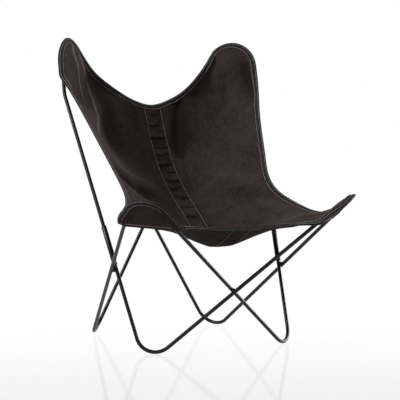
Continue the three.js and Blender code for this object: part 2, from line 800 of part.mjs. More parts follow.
function add(name, geometry, material) {
  const mesh = new THREE.Mesh(geometry, material);
  mesh.name = name;
  chair.add(mesh);
  return mesh;
}

for (const [side, word, other] of [[-1, 'left', 'right'], [1, 'right', 'left']]) {
  add(`base_rod_${other}_tip`, baseRod(side), steel);
  add(`rear_bow_${word}`, rearBow(side), steel);
  placeSleeve(add(`side_sleeve_${word}`, sleeveTube(), steel), sideSleeve(side));
  placeSleeve(add(`rear_sleeve_${word}`, sleeveTube(), steel), rearSleeve(side));
  add(`side_weld_${word}`, weldBead(sideCrossing(side), loops[side].rearTip, loops[-side].frontTip), weldSteel);
  add(`cover_panel_${word}`, sidePanel(side), canvas);
  add(`edge_binding_${word}`, sideBinding(side), tape);
  add(`rear_pocket_${word}`, pocket(rearTips[side], rearPocketOuterLeg, rearPocketInnerLeg), canvas);
  add(`front_pocket_${word}`, pocket(frontTips[side], frontPocketOuterLeg, frontPocketInnerLeg), canvas);
}
add('front_weld', weldBead(frontCrossing, loops[-1].frontTip, loops[1].frontTip), weldSteel);
add('rear_weld', weldBead(rearCrossing(-1), loops[-1].rearTip, loops[1].rearTip), weldSteel);
add('cover_middle_strip', middleStrip(), stripCanvas);
add('edge_binding_top', acrossBinding('top'), tape);
add('edge_binding_front', acrossBinding('front'), tape);

// The chair stands centred on the origin, whatever its sizes.
chair.updateMatrixWorld(true);
const bounds = new THREE.Box3().setFromObject(chair, true);
chair.position.set(-(bounds.min.x + bounds.max.x) / 2, -(bounds.min.y + bounds.max.y) / 2, -bounds.min.z);

export default chair;
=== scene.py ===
import math
import bpy
import numpy as np
from mathutils import Matrix


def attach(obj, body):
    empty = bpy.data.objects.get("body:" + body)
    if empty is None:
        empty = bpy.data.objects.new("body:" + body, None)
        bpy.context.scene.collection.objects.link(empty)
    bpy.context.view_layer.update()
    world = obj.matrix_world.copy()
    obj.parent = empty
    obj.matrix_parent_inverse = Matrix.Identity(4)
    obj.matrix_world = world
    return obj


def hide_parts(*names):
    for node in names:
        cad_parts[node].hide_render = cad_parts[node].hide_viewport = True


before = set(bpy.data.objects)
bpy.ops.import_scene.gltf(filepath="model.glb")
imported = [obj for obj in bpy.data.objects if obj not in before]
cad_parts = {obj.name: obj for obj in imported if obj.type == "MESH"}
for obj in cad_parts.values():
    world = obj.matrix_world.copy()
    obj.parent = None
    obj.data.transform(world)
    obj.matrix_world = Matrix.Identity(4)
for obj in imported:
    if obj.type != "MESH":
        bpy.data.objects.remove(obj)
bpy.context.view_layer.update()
print("frame loaded:", len(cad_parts), "nodes")

# Everything below is worked out in millimetres, in the chair's own axes: x to the viewer's right, y to
# the back and z up. The solids stand centred on the origin, so points are moved by this much before
# they become metres. A side is -1 on the viewer's left and 1 on the right.
centring = np.array([0.0, 77.348, 0.0])
names = {-1: "left", 1: "right"}
random = np.random.default_rng(7)

# Camera, from the places of the straight rods in the photograph
camera = dict(
    place=(-2161.3, -4522.1, 767.8), right=(0.8973, -0.4415, 0.0), up=(0.0312, 0.0634, 0.9975),
    back=(-0.4404, -0.8950, 0.0706), focal=1678.9, centre=(203.35, 200.01), picture=400,
    sensor=36.0, clip=100.0,
)


def addObject(name, data, axes=None, place=None):  # axes are the columns of its rotation
    made = bpy.data.objects.new(name, data)
    bpy.context.scene.collection.objects.link(made)
    if axes is not None:
        matrix = np.eye(4)
        matrix[:3, :3], matrix[:3, 3] = axes, place
        made.matrix_world = Matrix(matrix.tolist())
    return made


# The lens is the sensor's width times focal over the picture's width. The two shifts are the way between
# the picture's middle and the centre that the camera looks through, as shares of its width.
def addCamera(c):
    data = bpy.data.cameras.new("camera")
    data.sensor_width, data.clip_end = c["sensor"], c["clip"]
    data.lens = c["sensor"] * c["focal"] / c["picture"]
    data.shift_x = (c["picture"] / 2 - c["centre"][0]) / c["picture"]
    data.shift_y = (c["centre"][1] - c["picture"] / 2) / c["picture"]
    u, _, v = np.linalg.svd(np.array([c["right"], c["up"], c["back"]]))  # the nearest true rotation
    return addObject("camera", data, (u @ v).T, (np.array(c["place"]) + centring) / 1000)


bpy.context.scene.camera = addCamera(camera)

# Small geometry tools. Points are rows of an array.


def unit(v):  # a direction over its length
    return v / np.linalg.norm(v, axis=-1, keepdims=True)


def dot(a, b):  # the sum of products, kept as a column
    return np.sum(a * b, axis=-1, keepdims=True)


def smooth(x, low, high):  # 0 before low, 1 after high, with level ends
    t = np.clip((x - low) / (high - low), 0, 1)
    return t * t * (3 - 2 * t)


def bell(x):  # e to the power of minus x squared
    return np.exp(-x * x)


def softMax(a, b, step):  # the larger of two, with the step between them rounded
    return 0.5 * (a + b + np.sqrt((a - b) ** 2 + step * step))


def runOf(points, axis=0):  # the distance along a line, or along each row or column of a grid
    steps = np.diff(points, axis=axis, prepend=np.take(points, [0], axis))
    return np.cumsum(np.linalg.norm(steps, axis=-1), axis=axis)


def pick(want, run, rows):  # rows at the wanted distances
    return np.stack([np.interp(want, run, column) for column in rows.T], axis=-1)


def evenly(rows, shares):  # rows at shares of the way, whose places are the first three columns
    run = runOf(rows[:, :3])
    return pick(shares * run[-1], run, rows)


def even(count):  # even shares from 0 to 1
    return np.linspace(0, 1, count)


# Directions of an even turn in the plane of a and b: a times the cosine and b times the sine.
def ringOf(a, b, sides):
    turn = np.linspace(0, 2 * math.pi, sides, endpoint=False)[:, None]
    return np.cos(turn) * a[..., None, :] + np.sin(turn) * b[..., None, :]


# The arc of a radius that touches both legs of a corner: its centre lies on the line between the legs,
# and its points are centre + radius * (cosine, sine) of an even turn.
def cornerArc(before, corner, after, radius, steps):
    a, b = unit(before - corner), unit(after - corner)
    half = math.acos(np.clip(a @ b, -1, 1)) / 2
    middle = unit(a + b)
    centre = corner + middle * radius / math.sin(half)
    first = unit(corner + a * radius / math.tan(half) - centre)
    second = unit(-middle + first * (middle @ first))
    turn = np.linspace(0, math.pi - 2 * half, steps + 1)[:, None]
    return centre + radius * (np.cos(turn) * first + np.sin(turn) * second)


# A curve through points, at even steps: cubic pieces whose slopes come from the roots of the distances
# between the points.
def splineThrough(points, count, pieceSteps=60):
    p = np.vstack([2 * points[0] - points[1], points, 2 * points[-1] - points[-2]])
    d = np.sqrt(np.linalg.norm(np.diff(p, axis=0), axis=1))[:, None]
    p0, p1, p2, p3 = p[:-3], p[1:-2], p[2:-1], p[3:]
    d0, d1, d2 = d[:-2], d[1:-1], d[2:]
    m1 = ((p1 - p0) / d0 - (p2 - p0) / (d0 + d1) + (p2 - p1) / d1) * d1
    m2 = ((p2 - p1) / d1 - (p3 - p1) / (d1 + d2) + (p3 - p2) / d2) * d1
    t = np.linspace(0, 1, pieceSteps, endpoint=False)[:, None, None]
    dense = ((2 * t**3 - 3 * t**2 + 1) * p1 + (t**3 - 2 * t**2 + t) * m1
             + (3 * t**2 - 2 * t**3) * p2 + (t**3 - t**2) * m2)
    return evenly(np.vstack([dense.transpose(1, 0, 2).reshape(-1, 3), points[-1:]]), even(count))


# A line smoothed by a bell-shaped window, mirrored through its ends so that they stay in place.
def smoothLine(line, window):
    reach = int(3 * window)
    kernel = bell(np.arange(-reach, reach + 1) / window)
    kernel /= kernel.sum()
    padded = np.vstack([2 * line[0] - line[reach:0:-1], line, 2 * line[-1] - line[-2:-reach - 2:-1]])
    return np.stack([np.convolve(column, kernel, "valid") for column in padded.T], axis=1)


def crossPoints(p, a, q, b):  # the nearest points of the lines p + a s and q + b t
    w, ab = p - q, a @ b
    s = (ab * (b @ w) - a @ w) / (1 - ab * ab)
    t = (b @ w - ab * (a @ w)) / (1 - ab * ab)
    return p + a * s, q + b * t


# A piece in metres: each point is moved to the centre and divided by 1000. The quads and end caps count
# the points from 0, and UVs and attributes have one value for each point.
def toMesh(name, points, quads, caps=(), uv=None, attributes=None):
    mesh = bpy.data.meshes.new(name)
    places = (points.reshape(-1, 3) + centring) / 1000
    mesh.from_pydata(places.tolist(), [], quads.tolist() + np.asarray(caps).tolist())
    if uv is not None:
        corner = np.zeros(len(mesh.loops), np.int32)
        mesh.loops.foreach_get("vertex_index", corner)
        mesh.uv_layers.new(name="cloth").data.foreach_set("uv", uv.astype(np.float32)[corner].ravel())
    for key, values in (attributes or {}).items():
        made = mesh.attributes.new(key, "FLOAT", "POINT")
        made.data.foreach_set("value", values.astype(np.float32).ravel())
    mesh.polygons.foreach_set("use_smooth", np.full(len(mesh.polygons), True))
    mesh.update()
    piece = addObject(name, mesh)
    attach(piece, "root")
    return piece


slotted = []


def standFor(piece, node, slot):  # the piece shows in place of this solid, in the slot's material
    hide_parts(node)
    slotted.append((piece, slot))
    return piece


# Quads of a grid with rows * columns points; closed in either direction where it says so.
def gridFaces(rows, columns, closeRows=False, closeColumns=False):
    j = np.arange(rows if closeRows else rows - 1)
    i = np.arange(columns if closeColumns else columns - 1)
    j, i = (a.ravel() for a in np.meshgrid(j, i, indexing="ij"))
    j2, i2 = (j + 1) % rows, (i + 1) % columns
    return np.stack([j * columns + i, j * columns + i2, j2 * columns + i2, j2 * columns + i], axis=1)


# Shader tools. A wrapped socket takes + - * and **, and each adds a node that works it out.


class Shader:
    def __init__(self, owner, surface="Principled BSDF"):  # owner: a new material, or the world
        owner.use_nodes = True
        self.owner, self.tree = owner, owner.node_tree
        self.surface = self.tree.nodes[surface]

    def node(self, kind, settings=None, inputs=None, out=0):
        made = self.tree.nodes.new("ShaderNode" + kind)
        for key, value in (settings or {}).items():
            setattr(made, key, value)
        for key, value in (inputs or {}).items():
            self.feed(made.inputs[key], value)
        return Wire(self, made.outputs[out])

    def feed(self, socket, value):
        if isinstance(value, Wire):
            self.tree.links.new(value.socket, socket)
        elif isinstance(value, tuple) and len(value) + 1 == len(socket.default_value):
            socket.default_value = (*value, 1)
        else:
            socket.default_value = value

    def set(self, **values):
        for key, value in values.items():
            self.feed(self.surface.inputs[key.replace("_", " ")], value)

    def mix(self, factor, a, b):
        return self.node("Mix", {"data_type": "RGBA"}, {0: factor, 6: a, 7: b}, out=2)

    def noise(self, vector, scale, detail=3, rough=0.5, stretch=None):
        if stretch:
            vector = self.node("Mapping", None, {"Vector": vector, "Scale": stretch})
        return self.node("TexNoise", None, {"Vector": vector, "Scale": scale, "Detail": detail,
                                            "Roughness": rough})

    def attribute(self, name):
        return self.node("Attribute", {"attribute_name": name}, out=2)

    def bump(self, height, strength):
        return self.node("Bump", None, {"Height": height, "Distance": 1.0, "Strength": strength})

    def place(self):  # the point in the object's own metres
        return self.node("TexCoord", out="Object")

    def sewn(self):  # the point on the cloth, in metres
        return self.node("UVMap", {"uv_map": "cloth"})

    def split(self, vector):  # its first two numbers
        made = self.node("SeparateXYZ", None, {"Vector": vector}).socket.node
        return Wire(self, made.outputs[0]), Wire(self, made.outputs[1])


class Wire:
    def __init__(self, shader, socket):
        self.shader, self.socket = shader, socket

    def maths(self, operation, *others):
        return self.shader.node("Math", {"operation": operation}, dict(enumerate((self, *others))))

    def __add__(self, other):
        return self.maths("ADD", other)

    def __sub__(self, other):
        return self.maths("SUBTRACT", other)

    def __mul__(self, other):
        return self.maths("MULTIPLY", other)

    def __pow__(self, other):
        return self.maths("POWER", other)

    __radd__ = __add__

    def __rsub__(self, other):
        return self.shader.node("Math", {"operation": "SUBTRACT"}, {0: other, 1: self})

    def between(self, low, high):  # 0 below low, 1 above high
        return self.shader.node("MapRange", {"interpolation_type": "SMOOTHSTEP"},
                                {"Value": self, "From Min": low, "From Max": high})


def linear(code):  # a hex colour as light: ((v + 0.055) / 1.055) to the power of 2.4
    values = [int(code[k:k + 2], 16) / 255 for k in (0, 2, 4)]
    return tuple(v / 12.92 if v < 0.04045 else ((v + 0.055) / 1.055) ** 2.4 for v in values)


# The rod frame
rod = dict(
    radius=5.5, spacing=12.948, fitGap=0.3, sides=28, chamfer=0.8,
    rearCorner=(353.0, 293.5, 998.0), frontCorner=(361.0, -462.5, 490.5),
    frontFoot=(239.0, -237.5), rearFoot=(204.485, 237.5),
    footRadius=57.0, footFlat=0.5, frontRadius=50.0,
    bowBend=306.0, bowLean=14.0, bowHalfAngle=11.5, bowRadius=57.0, bowTopRadius=68.0,
    legSteps=24, footSteps=40, frontSteps=44, bowSteps=14, bowTopSteps=48,
)
sleeve = dict(length=120.0, radius=7.6, rise=13.0, chamfer=0.9, sides=56)
weld = dict(length=19.0, width=12.0, reach=1.8, rows=28, sides=40, ripple=(0.05, 9), twist=(0.03, 3, 5))
# Each crossing: the tip and the foot of a leg of one loop, and those of a leg of the other loop.
crossings = dict(side=(("rearTip", "frontFoot"), ("frontTip", "rearFoot")),
                 rear=(("rearTip", "rearFoot"), ("rearTip", "rearFoot")),
                 front=(("frontTip", "frontFoot"), ("frontTip", "frontFoot")))


# A foot's corner is lowered until the arc's lowest point lies the flat's depth under its radius.
def seatFoot(foot, before, after, rounds=9, steps=240):
    for _ in range(rounds):
        low = cornerArc(before, foot, after, rod["footRadius"], steps)[:, 2].min()
        foot = foot + np.array([0, 0, rod["radius"] - rod["footFlat"] - low])
    return foot


# A loop has its rear tip and front foot on its own side, and the other two corners on the other side. It
# stands half the spacing off the middle.
def loopCorners(side):
    shift = np.array([0, side * rod["spacing"] / 2, 0])
    tips = [np.array(rod["rearCorner"]) * (side, 1, 1) + shift,
            np.array(rod["frontCorner"]) * (-side, 1, 1) + shift]
    feet = [seatFoot(np.array([hand * rod[key][0], rod[key][1], 0]) + shift, *tips)
            for hand, key in ((side, "frontFoot"), (-side, "rearFoot"))]
    return dict(zip(("rearTip", "frontTip", "frontFoot", "rearFoot"), tips + feet))


loops = {side: loopCorners(side) for side in names}


def crossing(kind, side):  # the nearest points of the two legs, the one of this side's loop first
    legs = [(loops[s][tip], unit(loops[s][foot] - loops[s][tip]))
            for s, (tip, foot) in zip((side, -side), crossings[kind])]
    return crossPoints(*legs[0], *legs[1])


# A rear bow's corners: two on the legs of its loop, and a top that leans forward from their middle.
def bowShape(side):
    c = loops[side]
    outer, inner = (c["rearTip"] + unit(c[foot] - c["rearTip"]) * rod["bowBend"]
                    for foot in ("frontFoot", "rearFoot"))
    middle = (outer + inner) / 2
    up = unit(c["rearTip"] - middle)
    forward = np.cross(up, unit(outer - inner))
    forward = -forward if forward[1] > 0 else forward
    lean = math.radians(rod["bowLean"])
    leaning = up * math.cos(lean) + forward * math.sin(lean)
    half = np.linalg.norm(outer - inner) / 2
    return outer, inner, middle + leaning * half / math.tan(math.radians(rod["bowHalfAngle"]))


bows = {side: bowShape(side) for side in names}


def sleeveLine(kind, side):  # its low end, high end and direction
    crossed = crossing(kind, side)[0]
    up = unit(loops[side]["rearTip"] - crossed)
    low = crossed + up * sleeve["rise"]
    return low, low + up * sleeve["length"], up


sleeves = {(kind, side): sleeveLine(kind, side) for side in names for kind in ("side", "rear")}


# From near the middle of the side sleeve to near that of the rear one: arcs joined by straight legs.
def rodPath(side, gap, *arcs):
    start, end = ((low + high) / 2 + up * gap
                  for low, high, up in (sleeves["side", side], sleeves["rear", side]))
    line = [start[None]]
    for arc in (*arcs, end[None]):
        before = line[-1][-1]
        line += [before + (arc[0] - before) * even(rod["legSteps"] + 1)[1:, None], arc[1:]]
    return np.vstack(line)


# Round the front foot, the front tip and the rear foot.
def baseRodPath(side):
    corners = [loops[side][key] for key in ("rearTip", "frontFoot", "frontTip", "rearFoot", "rearTip")]
    bends = ("footRadius", "footSteps"), ("frontRadius", "frontSteps"), ("footRadius", "footSteps")
    return rodPath(side, -rod["fitGap"], *(cornerArc(*corners[k:k + 3], rod[radius], rod[steps])
                                           for k, (radius, steps) in enumerate(bends)))


# Round the bow's outer bend, its top and its inner bend.
def bowPath(side):
    outer, inner, top = bows[side]
    corners = [loops[side]["frontFoot"], outer, top, inner, loops[side]["rearFoot"]]
    bends = ("bowRadius", "bowSteps"), ("bowTopRadius", "bowTopSteps"), ("bowRadius", "bowSteps")
    return rodPath(side, rod["fitGap"], *(cornerArc(*corners[k:k + 3], rod[radius], rod[steps])
                                          for k, (radius, steps) in enumerate(bends)))


# A round bar: a circle at each point of the path, and two closed, chamfered ends. The circles' first
# direction is carried on along the path and made square to each tangent, so that the bar doesn't twist.
def roundBar(name, path, floor=-math.inf):
    tangent = unit(np.gradient(path, axis=0))
    across = np.zeros_like(path)
    start = np.eye(3)[np.argmin(np.abs(tangent[0]))]
    for k, t in enumerate(tangent):
        start = unit(start - (start @ t) * t)
        across[k] = start
    inset = np.array([[0], [rod["chamfer"]]])
    centres = np.vstack([path[0] + tangent[0] * inset, path[1:-1], path[-1] - tangent[-1] * inset[::-1]])
    rows, sides = len(centres), rod["sides"]
    radii = np.full((rows, 1, 1), rod["radius"])
    radii[[0, -1]] -= rod["chamfer"]
    near = np.clip(np.arange(rows) - 1, 0, len(path) - 1)
    ring = ringOf(across[near], np.cross(tangent, across)[near], sides)
    points = (centres[:, None] + ring * radii).reshape(-1, 3)
    points[:, 2] = np.maximum(points[:, 2], floor)
    i = np.arange(sides)
    j, last = (i + 1) % sides, (rows - 1) * sides
    caps = np.vstack([np.stack([np.full(sides, rows * sides), j, i], axis=1),
                      np.stack([np.full(sides, rows * sides + 1), last + i, last + j], axis=1)])
    points = np.vstack([points, path[:1], path[-1:]])
    return toMesh(name, points, gridFaces(rows, sides, closeColumns=True), caps)


# A sleeve: the wall's outline, a low half and its mirror image, turned round the axis.
def sleeveTube(name, low, high, up):
    bore, wall, c = rod["radius"] + rod["fitGap"], sleeve["radius"], sleeve["chamfer"]
    half = np.array([[bore, c / 3], [bore + c / 3, 0], [wall - c, 0], [wall - c / 3, c / 3], [wall, c]])
    outline = np.vstack([half, half[::-1] * (1, -1) + (0, np.linalg.norm(high - low))])
    a = unit(np.cross(up, (0.3, 0.9, 0.1)))  # any direction that isn't along the sleeve
    ring = ringOf(a, np.cross(up, a), sleeve["sides"])
    points = low + ring[:, None] * outline[None, :, :1] + up * outline[None, :, 1:]
    return toMesh(name, points, gridFaces(sleeve["sides"], len(outline), True, True)[:, ::-1])


# A weld bead: a ball of three half sizes between two crossed rods, with low ripples along it.
def weldBead(name, kind, side):
    onFirst, onSecond = crossing(kind, side)
    first, second = (loops[s][leg[0]] for s, leg in zip((side, -side), crossings[kind]))
    apart = unit(onSecond - onFirst)
    along = unit(unit(first - onFirst) + unit(second - onSecond))
    v, u = np.meshgrid(np.linspace(0, math.pi, weld["rows"]),
                       np.linspace(0, 2 * math.pi, weld["sides"], endpoint=False), indexing="ij")
    (ripple, often), (twist, turns, lean) = weld["ripple"], weld["twist"]
    swell = 1 + (ripple * np.sin(often * v) + twist * np.sin(turns * u + lean * v)) * np.sin(v)
    gap = np.linalg.norm(onSecond - onFirst)
    size = np.array([weld["length"], weld["width"], gap + 2 * weld["reach"]]) / 2
    ball = np.stack([np.cos(v), np.sin(v) * np.cos(u), np.sin(v) * np.sin(u)], axis=-1) * swell[..., None]
    points = (onFirst + onSecond) / 2 + ball * size @ np.stack([along, np.cross(apart, along), apart])
    return toMesh(name, points, gridFaces(weld["rows"], weld["sides"], False, True)[:, ::-1])


for side, other in zip(names, ("right", "left")):
    bar = roundBar("bent_rod_%s_tip" % other, baseRodPath(side), floor=0)
    standFor(bar, "base_rod_%s_tip" % other, "frame_steel")
    standFor(roundBar("bow_rod_" + names[side], bowPath(side)), "rear_bow_" + names[side], "frame_steel")
    for kind in ("side", "rear"):
        tube = sleeveTube("joint_sleeve_%s_%s" % (kind, names[side]), *sleeves[kind, side])
        standFor(tube, "%s_sleeve_%s" % (kind, names[side]), "frame_steel")
for name, kind, side in (("left", "side", -1), ("right", "side", 1), ("front", "front", -1),
                         ("rear", "rear", -1)):
    standFor(weldBead("weld_bead_" + name, kind, side),
             "side_weld_" + name if kind == "side" else name + "_weld", "weld_steel")
print("frame pieces made")

# The cover's edges
cloth = dict(
    thickness=1.3, depth=6.6, lift=0.7, stripWidth=59.0, backPower=2, seatPower=1.85,
    seatFrom=(0.4, 0.7), topFade=2, frontFade=6.0, slopeShare=0.9, slopeRound=0.08,
    drape=30.0, drapeRound=16.0, slope=0.26,
    rounding=3.0, legFade=(80.0, 150.0), crownFade=(-2.5, -0.5), legFrom=(0.9, 1.5),
    rearOuterLeg=34.0, rearInnerShare=0.6, frontOuterLeg=58.0, frontInnerLeg=82.0, arcSteps=24,
    edgeCount=1200, endWindow=12, sideWindow=6, middleWindow=20,
)
seam = cloth["stripWidth"] / 2
# How far the edge lies outside the rod: at a tip's apex, where its outer and inner legs begin, and
# further down these legs. Then how high it lies over the rod's plane at the same places.
edgeReaches = {("rear", -1): (27, 17, 19, 17, 19), ("rear", 1): (18, 17, 19, 17, 19),
               ("front", -1): (20, 17, 18, 25, 18), ("front", 1): (18, 24, 16, 24, 16)}
edgeHeights = {("rear", -1): (7, -4, 15, -4, 8), ("rear", 1): (3.5, 3, 3, 3, 3),
               ("front", -1): (0, 0, 0, 0, 0), ("front", 1): (-3, 0, -13, 0, -10)}
# Each row: share of the way from the rear to the front corner, shares of the width and the height.
topShares = [(0.0736, 0, 0.7228), (0.0736, 0.17, 0.739), (0.0723, 0.3365, 0.7726),
             (0.0454, 0.517, 0.8173)]
sideShares = [(0.2208, 0.9025, 0.8417), (0.3052, 0.822, 0.7788), (0.3986, 0.7523, 0.711),
              (0.4907, 0.694, 0.643), (0.5611, 0.701, 0.6184), (0.6711, 0.799, 0.609),
              (0.7348, 0.858, 0.619)]
frontShares = [(0.8951, 0, 0.662), (0.8989, 0.195, 0.664), (0.9194, 0.391, 0.681)]
middleShares = [(0.0736, 0, 0.7228), (0.1209, 0, 0.6629), (0.1964, 0, 0.5846), (0.3065, 0, 0.5281),
                (0.4357, 0, 0.4892), (0.5867, 0, 0.442), (0.6686, 0, 0.4464), (0.7454, 0, 0.487),
                (0.8247, 0, 0.566), (0.8951, 0, 0.662)]


# Places from shares: x and z are shares of the corners' own at that place, and y goes from the middle
# of the chair to the side's two corners over the inner half of the width.
def sharedPlaces(side, rows):
    along, width, height = np.array(rows).T
    rear, front = loops[side]["rearTip"], loops[-side]["frontTip"]
    middle = rod["rearCorner"][1] + (rod["frontCorner"][1] - rod["rearCorner"][1]) * along
    x, y, z = (rear[k] + (front[k] - rear[k]) * along for k in range(3))
    return np.stack([x * width, middle + (y - middle) * np.minimum(1, 2 * width), z * height], axis=1)


# The plane of a raised tip: across to its outer leg, down between the legs, and face to the sitter.
class Tip:
    def __init__(self, corner, outer, inner, radius, facing, key):
        self.radius, self.reaches, self.heights = radius, edgeReaches[key], edgeHeights[key]
        self.across = unit(outer - inner)
        self.down = unit(unit(outer - corner) + unit(inner - corner))
        face = unit(np.cross(self.across, self.down))
        self.face = face * np.sign(face @ facing)
        half = math.acos(np.clip(unit(outer - corner) @ self.down, -1, 1))
        self.cos, self.sin, self.quarter = math.cos(half), math.sin(half), math.pi / 2 - half
        self.centre = corner + self.down * radius / self.sin

    # A place by its turn from the apex, as a share of the arc, its way down the leg, and its distance
    # outside the rod and over its plane.
    def place(self, hand, turn, leg, reach, depth):
        turn, leg, reach, depth = (np.asarray(x, float)[..., None] for x in (turn, leg, reach, depth))
        bend = self.radius + reach
        return (self.centre + self.across * hand * (bend * np.sin(turn * self.quarter) + leg * self.sin)
                + self.down * (leg * self.cos - bend * np.cos(turn * self.quarter)) + self.face * depth)

    def along(self, values, hand, turn):  # from the apex's value to those of a leg
        crown, outer, inner, outerLeg, innerLeg = values
        begin, leg = np.where(hand > 0, outer, inner), np.where(hand > 0, outerLeg, innerLeg)
        start, end = cloth["legFrom"]
        return crown + (begin - crown) * smooth(turn, 0, start) + (leg - begin) * smooth(turn, start, end)

    def edge(self, hand, turn):  # how far the edge lies outside the rod, and how high over its plane
        return self.along(self.reaches, hand, turn), self.along(self.heights, hand, turn)

    def edgeAt(self, a, b):
        return self.edge(a, np.arctan2(np.abs(a), -b) / self.quarter)

    def flat(self, points):  # across, down and height of points, from the centre of the arc
        away = points - self.centre
        return away @ self.across, away @ self.down, away @ self.face

    def solid(self, a, b, height):
        return (self.centre + a[..., None] * self.across + b[..., None] * self.down
                + height[..., None] * self.face)

    def onLeg(self, a, b):
        return b * self.cos + np.abs(a) * self.sin > 0

    def fromRod(self, a, b):  # signed distance from the rod's middle line, outside positive
        leg = np.abs(a) * self.cos - b * self.sin
        return np.where(self.onLeg(a, b), leg, np.hypot(a, b)) - self.radius


tips = {}
for side in names:
    other = loops[-side]
    outer, inner, top = bows[side]
    tips["rear", side] = Tip(top, outer, inner, rod["bowTopRadius"], (0, -1, 0), ("rear", side))
    corners = (other[key] for key in ("frontTip", "rearFoot", "frontFoot"))
    tips["front", side] = Tip(*corners, rod["frontRadius"], (0, 0, 1), ("front", side))


def tapeSlope(reach, height):  # from the edge up to the cloth's height over the rod
    return (cloth["depth"] - cloth["lift"] - height) / (cloth["slopeShare"] * reach)


# Height of the cloth over a tip's plane: level over the rods, and outside them a straight slope to the
# edge. The step between the two is rounded.
def tipProfile(tip, a, b):
    outside, (reach, height) = tip.fromRod(a, b), tip.edgeAt(a, b)
    left = softMax(1 - (reach - outside) / (cloth["slopeShare"] * reach), 0, cloth["slopeRound"])
    return cloth["depth"] + (height + cloth["lift"] - cloth["depth"]) * left


# Cloth lifted to the sitter's side of a tip's legs: the height over the tip's plane is at least the
# profile's within the drape's reach of a leg, and may fall with a slope beyond it.
def liftOverLegs(tip, points, fit):
    a, b, height = tip.flat(points)
    off = np.abs(tip.fromRod(a, b))
    fall = cloth["slope"] * softMax(off - cloth["drape"], 0, cloth["drapeRound"])
    lifted = softMax(height, tipProfile(tip, a, b) + fit - fall, cloth["rounding"])
    crown = [x * tip.radius for x in cloth["crownFade"]]
    near = (1 - smooth(off, *cloth["legFade"])) * smooth(b, *crown)
    return points + ((lifted - height) * near)[..., None] * tip.face


# The edge round one half of a tip, from its apex to that share of the arc, and down a leg.
def tipEdge(tip, hand, turn, leg):
    turns = np.linspace(0, turn, cloth["arcSteps"])
    turns, legs = np.append(turns, [cloth["legFrom"][1]] * 2), np.append(turns * 0, [leg / 2, leg])
    reach, height = tip.edge(hand, turns)
    points = tip.place(hand, np.minimum(turns, 1), legs, reach, height + cloth["lift"])
    return points if leg else points[:-2]


# The three edges of one half of the cover. The top and front run from the middle line to a tip, and are
# halves of curves that are made with their mirror images; the side runs from the rear to the front.
def makeEdges(side):
    rear, front = tips["rear", side], tips["front", side]

    def fromMiddle(shares, atTip):
        points = np.vstack([sharedPlaces(side, shares), atTip[::-1]])
        line = splineThrough(np.vstack([points[1] * (-1, 1, 1), points]), cloth["edgeCount"] * 2)
        line = line[np.argmax(side * line[:, 0] >= 0):]
        line[0, 0] = 0
        return smoothLine(evenly(line, even(cloth["edgeCount"])), cloth["endWindow"])

    outer = np.vstack([tipEdge(rear, 1, 1, cloth["rearOuterLeg"]), sharedPlaces(side, sideShares),
                       tipEdge(front, 1, 1, cloth["frontOuterLeg"])[::-1]])
    return dict(top=fromMiddle(topShares, tipEdge(rear, -1, cloth["rearInnerShare"], 0)),
                side=smoothLine(splineThrough(outer, cloth["edgeCount"]), cloth["sideWindow"]),
                front=fromMiddle(frontShares, tipEdge(front, -1, 1, cloth["frontInnerLeg"])))


edges = {side: makeEdges(side) for side in names}
middleLine = splineThrough(sharedPlaces(1, middleShares), cloth["edgeCount"])
middleLine[:, 0] = 0
middleLine = smoothLine(middleLine, cloth["middleWindow"])
print("edges: side %.0f, top %.0f, front %.0f, middle %.0f mm" % tuple(
    runOf(line)[-1] for line in (*(edges[1][key] for key in ("side", "top", "front")), middleLine)))

# The cover's surface
panel = dict(
    columns=141, rows=321, under=1.5, span=(400.0, 950.0), ramp=12.0, meet=30.0, mostMiss=30.0,
    near=(1.0, 2.4), fadeIn=26.0, seamFade=14.0, formRounds=12, foldRounds=3,
    ripples=[(0.8, 5, 13), (0.45, 13, 31), (0.16, 31, 83)],
    swells=[({-1: 30.0, 1: 30.0}, 0.8, 1.5, 0.82, 0.14), ({-1: -6.0, 1: -13.0}, 0.6, 1.0, 0.63, 0.16)],
    wear=12.0, hindCrease=0.35,
)
foldForm = dict(power=1.3, creaseWidth=2.6, past=0.02)
